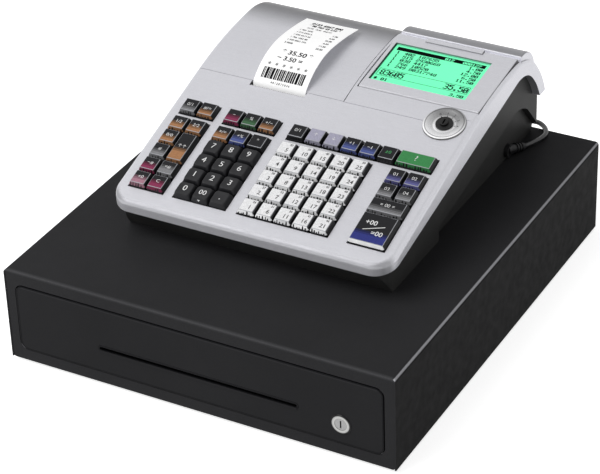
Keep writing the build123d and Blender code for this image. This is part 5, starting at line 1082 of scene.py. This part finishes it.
def build_stage():
    world = bpy.data.worlds.new("world")
    world.use_nodes = True
    bpy.context.scene.world = world
    tree = world.node_tree
    strength = tree.nodes.new("ShaderNodeMapRange")
    strength.inputs["To Min"].default_value = WORLD_LIGHT
    strength.inputs["To Max"].default_value = 1.0
    tree.links.new(light_path(tree), strength.inputs["Value"])
    background = tree.nodes["Background"]
    background.inputs["Color"].default_value = (1, 1, 1, 1)
    tree.links.new(strength.outputs["Result"], background.inputs["Strength"])

    mesh = bpy.data.meshes.new("floor")
    corners = [(x * FLOOR_HALF, y * FLOOR_HALF, 0) for x, y in ((-1, -1), (1, -1), (1, 1), (-1, 1))]
    mesh.from_pydata(corners, [], [[0, 1, 2, 3]])
    floor = add_object("floor", mesh)
    material = bpy.data.materials.new("floor_paper")
    material.use_nodes = True
    tree = material.node_tree
    shader = tree.nodes["Principled BSDF"]
    shader.inputs["Base Color"].default_value = (FLOOR_GREY, FLOOR_GREY, FLOOR_GREY, 1)
    shader.inputs["Roughness"].default_value = 0.9
    shader.inputs["Emission Color"].default_value = (1, 1, 1, 1)
    glow = tree.nodes.new("ShaderNodeMath")
    glow.operation = "MULTIPLY"
    glow.inputs[1].default_value = FLOOR_GLOW
    tree.links.new(light_path(tree), glow.inputs[0])
    tree.links.new(glow.outputs["Value"], shader.inputs["Emission Strength"])
    mesh.materials.append(material)


def build_lamp():
    """One large soft lamp, from the left in front."""
    data = bpy.data.lights.new("key", "AREA")
    data.size = 2.2
    data.energy = 65
    lamp = add_object("key", data)
    place, aim = Vector((-1.3, -1.4, 2.5)), Vector((0, 0, 0.1))
    turn = (place - aim).to_track_quat("Z", "Y").to_matrix().to_4x4()
    lamp.matrix_world = Matrix.Translation(place) @ turn


# ---- mains lead
CORD_R = 2.5
ON_TOP_Z = CASE_TOP + CORD_R + 0.1
ON_FLOOR_Z = CORD_R + 0.1
BOOT_TIP = Vector((143.9, 181.04, 107.4))
COIL_X, COIL_Y = 30.0, 280.0
COIL_INNER_R, COIL_OUTER_R = 20.0, 35.0
COIL_LAYER_Z = (2.6, 7.6)
POINTS_PER_TURN = 16
# The lead's middle line: over the case's rear edge, down to the floor, and after the coil to the plug.
LEAD_ROUTE = [
    tuple(BOOT_TIP),
    (154.5, 206.0, ON_TOP_Z),
    (148.7, 226.2, ON_TOP_Z),
    (131.3, 238.0, ON_TOP_Z - 0.6),
    (113.0, 241.5, 96.0),
    (101.5, 243.5, 70.0),
    (97.5, 245.0, 45.0),
    (96.0, 246.0, 24.0),
    (87.6, 244.8, 10.4),
    (73.7, 242.9, ON_FLOOR_Z),
    (56.7, 242.0, ON_FLOOR_Z),
    (39.3, 245.4, ON_FLOOR_Z),
]
TAIL_ROUTE = [
    (12.0, 243.4, 5.6),
    (-6.0, COIL_Y - COIL_OUTER_R, ON_FLOOR_Z),
    (-24.0, 248.0, 4.0),
    (-40.0, 249.0, 7.0),
]


def coil_route():
    """Turns of the coil: the lower layer winds in, and the upper layer winds out."""
    points = []
    turns = 4
    count = turns * POINTS_PER_TURN
    for layer, (r0, r1) in enumerate(((COIL_OUTER_R, COIL_INNER_R), (COIL_INNER_R, COIL_OUTER_R))):
        for i in range(layer, count + 1):
            share = i / count
            radius = r0 + (r1 - r0) * share
            turn = math.radians(-90 - 360 * turns * share)
            z = COIL_LAYER_Z[layer]
            points.append((COIL_X + radius * math.cos(turn), COIL_Y + radius * math.sin(turn), z))
    return points


def build_tie():
    """Strap that holds the coil together."""
    shape = Shape()
    middle = (COIL_INNER_R + COIL_OUTER_R) / 2
    reach = (COIL_OUTER_R - COIL_INNER_R) / 2 + CORD_R + 0.5
    low, high = 0.05, COIL_LAYER_Z[1] + CORD_R + 0.5
    rings = []
    for side in (-3.0, -2.6, 2.6, 3.0):
        grow = 0.0 if abs(side) > 2.8 else 0.35
        ring = rounded_rect(0, (low + high) / 2, 2 * (reach + grow), high - low + grow, 4.0, side)
        rings.append([(COIL_X + middle + u, COIL_Y + n, v + grow / 2) for u, v, n in ring])
    shape.loft(rings, ["tie"] * len(rings), start=True)
    return shape.piece("cord_tie", "chassis", "cord_rubber")


def build_lead():
    route = LEAD_ROUTE + coil_route() + TAIL_ROUTE
    curve = bpy.data.curves.new("mains_lead", "CURVE")
    curve.dimensions = "3D"
    curve.bevel_depth = CORD_R * MM
    curve.bevel_resolution = 5
    curve.resolution_u = 6
    curve.use_fill_caps = True
    spline = curve.splines.new("NURBS")
    spline.points.add(len(route) - 1)
    for point, place in zip(spline.points, route):
        point.co = (*(Vector(place) * MM), 1)
    spline.order_u = 3
    spline.use_endpoint_u = True
    curve.materials.append(FINISHES["cord"])
    lead = add_object("mains_lead", curve)
    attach(lead, "chassis")
    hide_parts("mains_cord", "mains_cord_coil")
    build_tie()


# ---- CAD nodes
NODE_FINISHES = {
    "silver": ("upper_case",),
    "silver_cover": ("printer_cover",),
    "silver_bezel": ("display_bezel",),
    "silver_cap": ("customer_display",),
    "case_paint": ("drawer_case", "case_base", "case_front_frame"),
    "front_paint": ("drawer_front",),
    "base_black": ("lower_case",),
    "frame_black": ("key_frame",),
    "tray_black": ("till_tray",),
    "rubber": ("case_feet",),
    "steel": (
        "case_rollers", "drawer_rollers", "clip_rod", "note_clips", "latch_hook", "eject_spring", "tear_bar",
        "motor_pinion",
    ),
    "zinc": (
        "case_rails", "drawer_pan", "latch_solenoid", "printer_frame", "power_transformer", "feed_motor",
    ),
    "lock_nickel": ("lock_barrel",),
    "plug_nickel": ("lock_plug", "fasteners"),
    "switch_silver": ("mode_switch_ring",),
    "switch_black": ("mode_switch_rotor",),
    "mat": ("key_mat",),
    "board": ("main_board", "keyboard_board"),
    "ceramic": ("thermal_head",),
    "platen": ("platen_roller",),
    "paper": ("receipt",),
    "paper_roll": ("paper_roll",),
    "lcd": ("lcd_panel",),
    "cord": ("mains_plug",),
    "boot": ("cord_strain_relief",),
}


def dress_nodes():
    for finish, names in NODE_FINISHES.items():
        for name in names:
            mesh = NODES[name].data
            mesh.materials.clear()
            mesh.materials.append(FINISHES[finish])


build_finishes()
build_camera()
build_stage()
build_lamp()
dress_nodes()
build_lead()
build_keys()
build_lcd()
build_customer_display()
build_switch_marks()
build_front_trim()
build_receipt()

bpy.context.scene.view_settings.view_transform = "Standard"
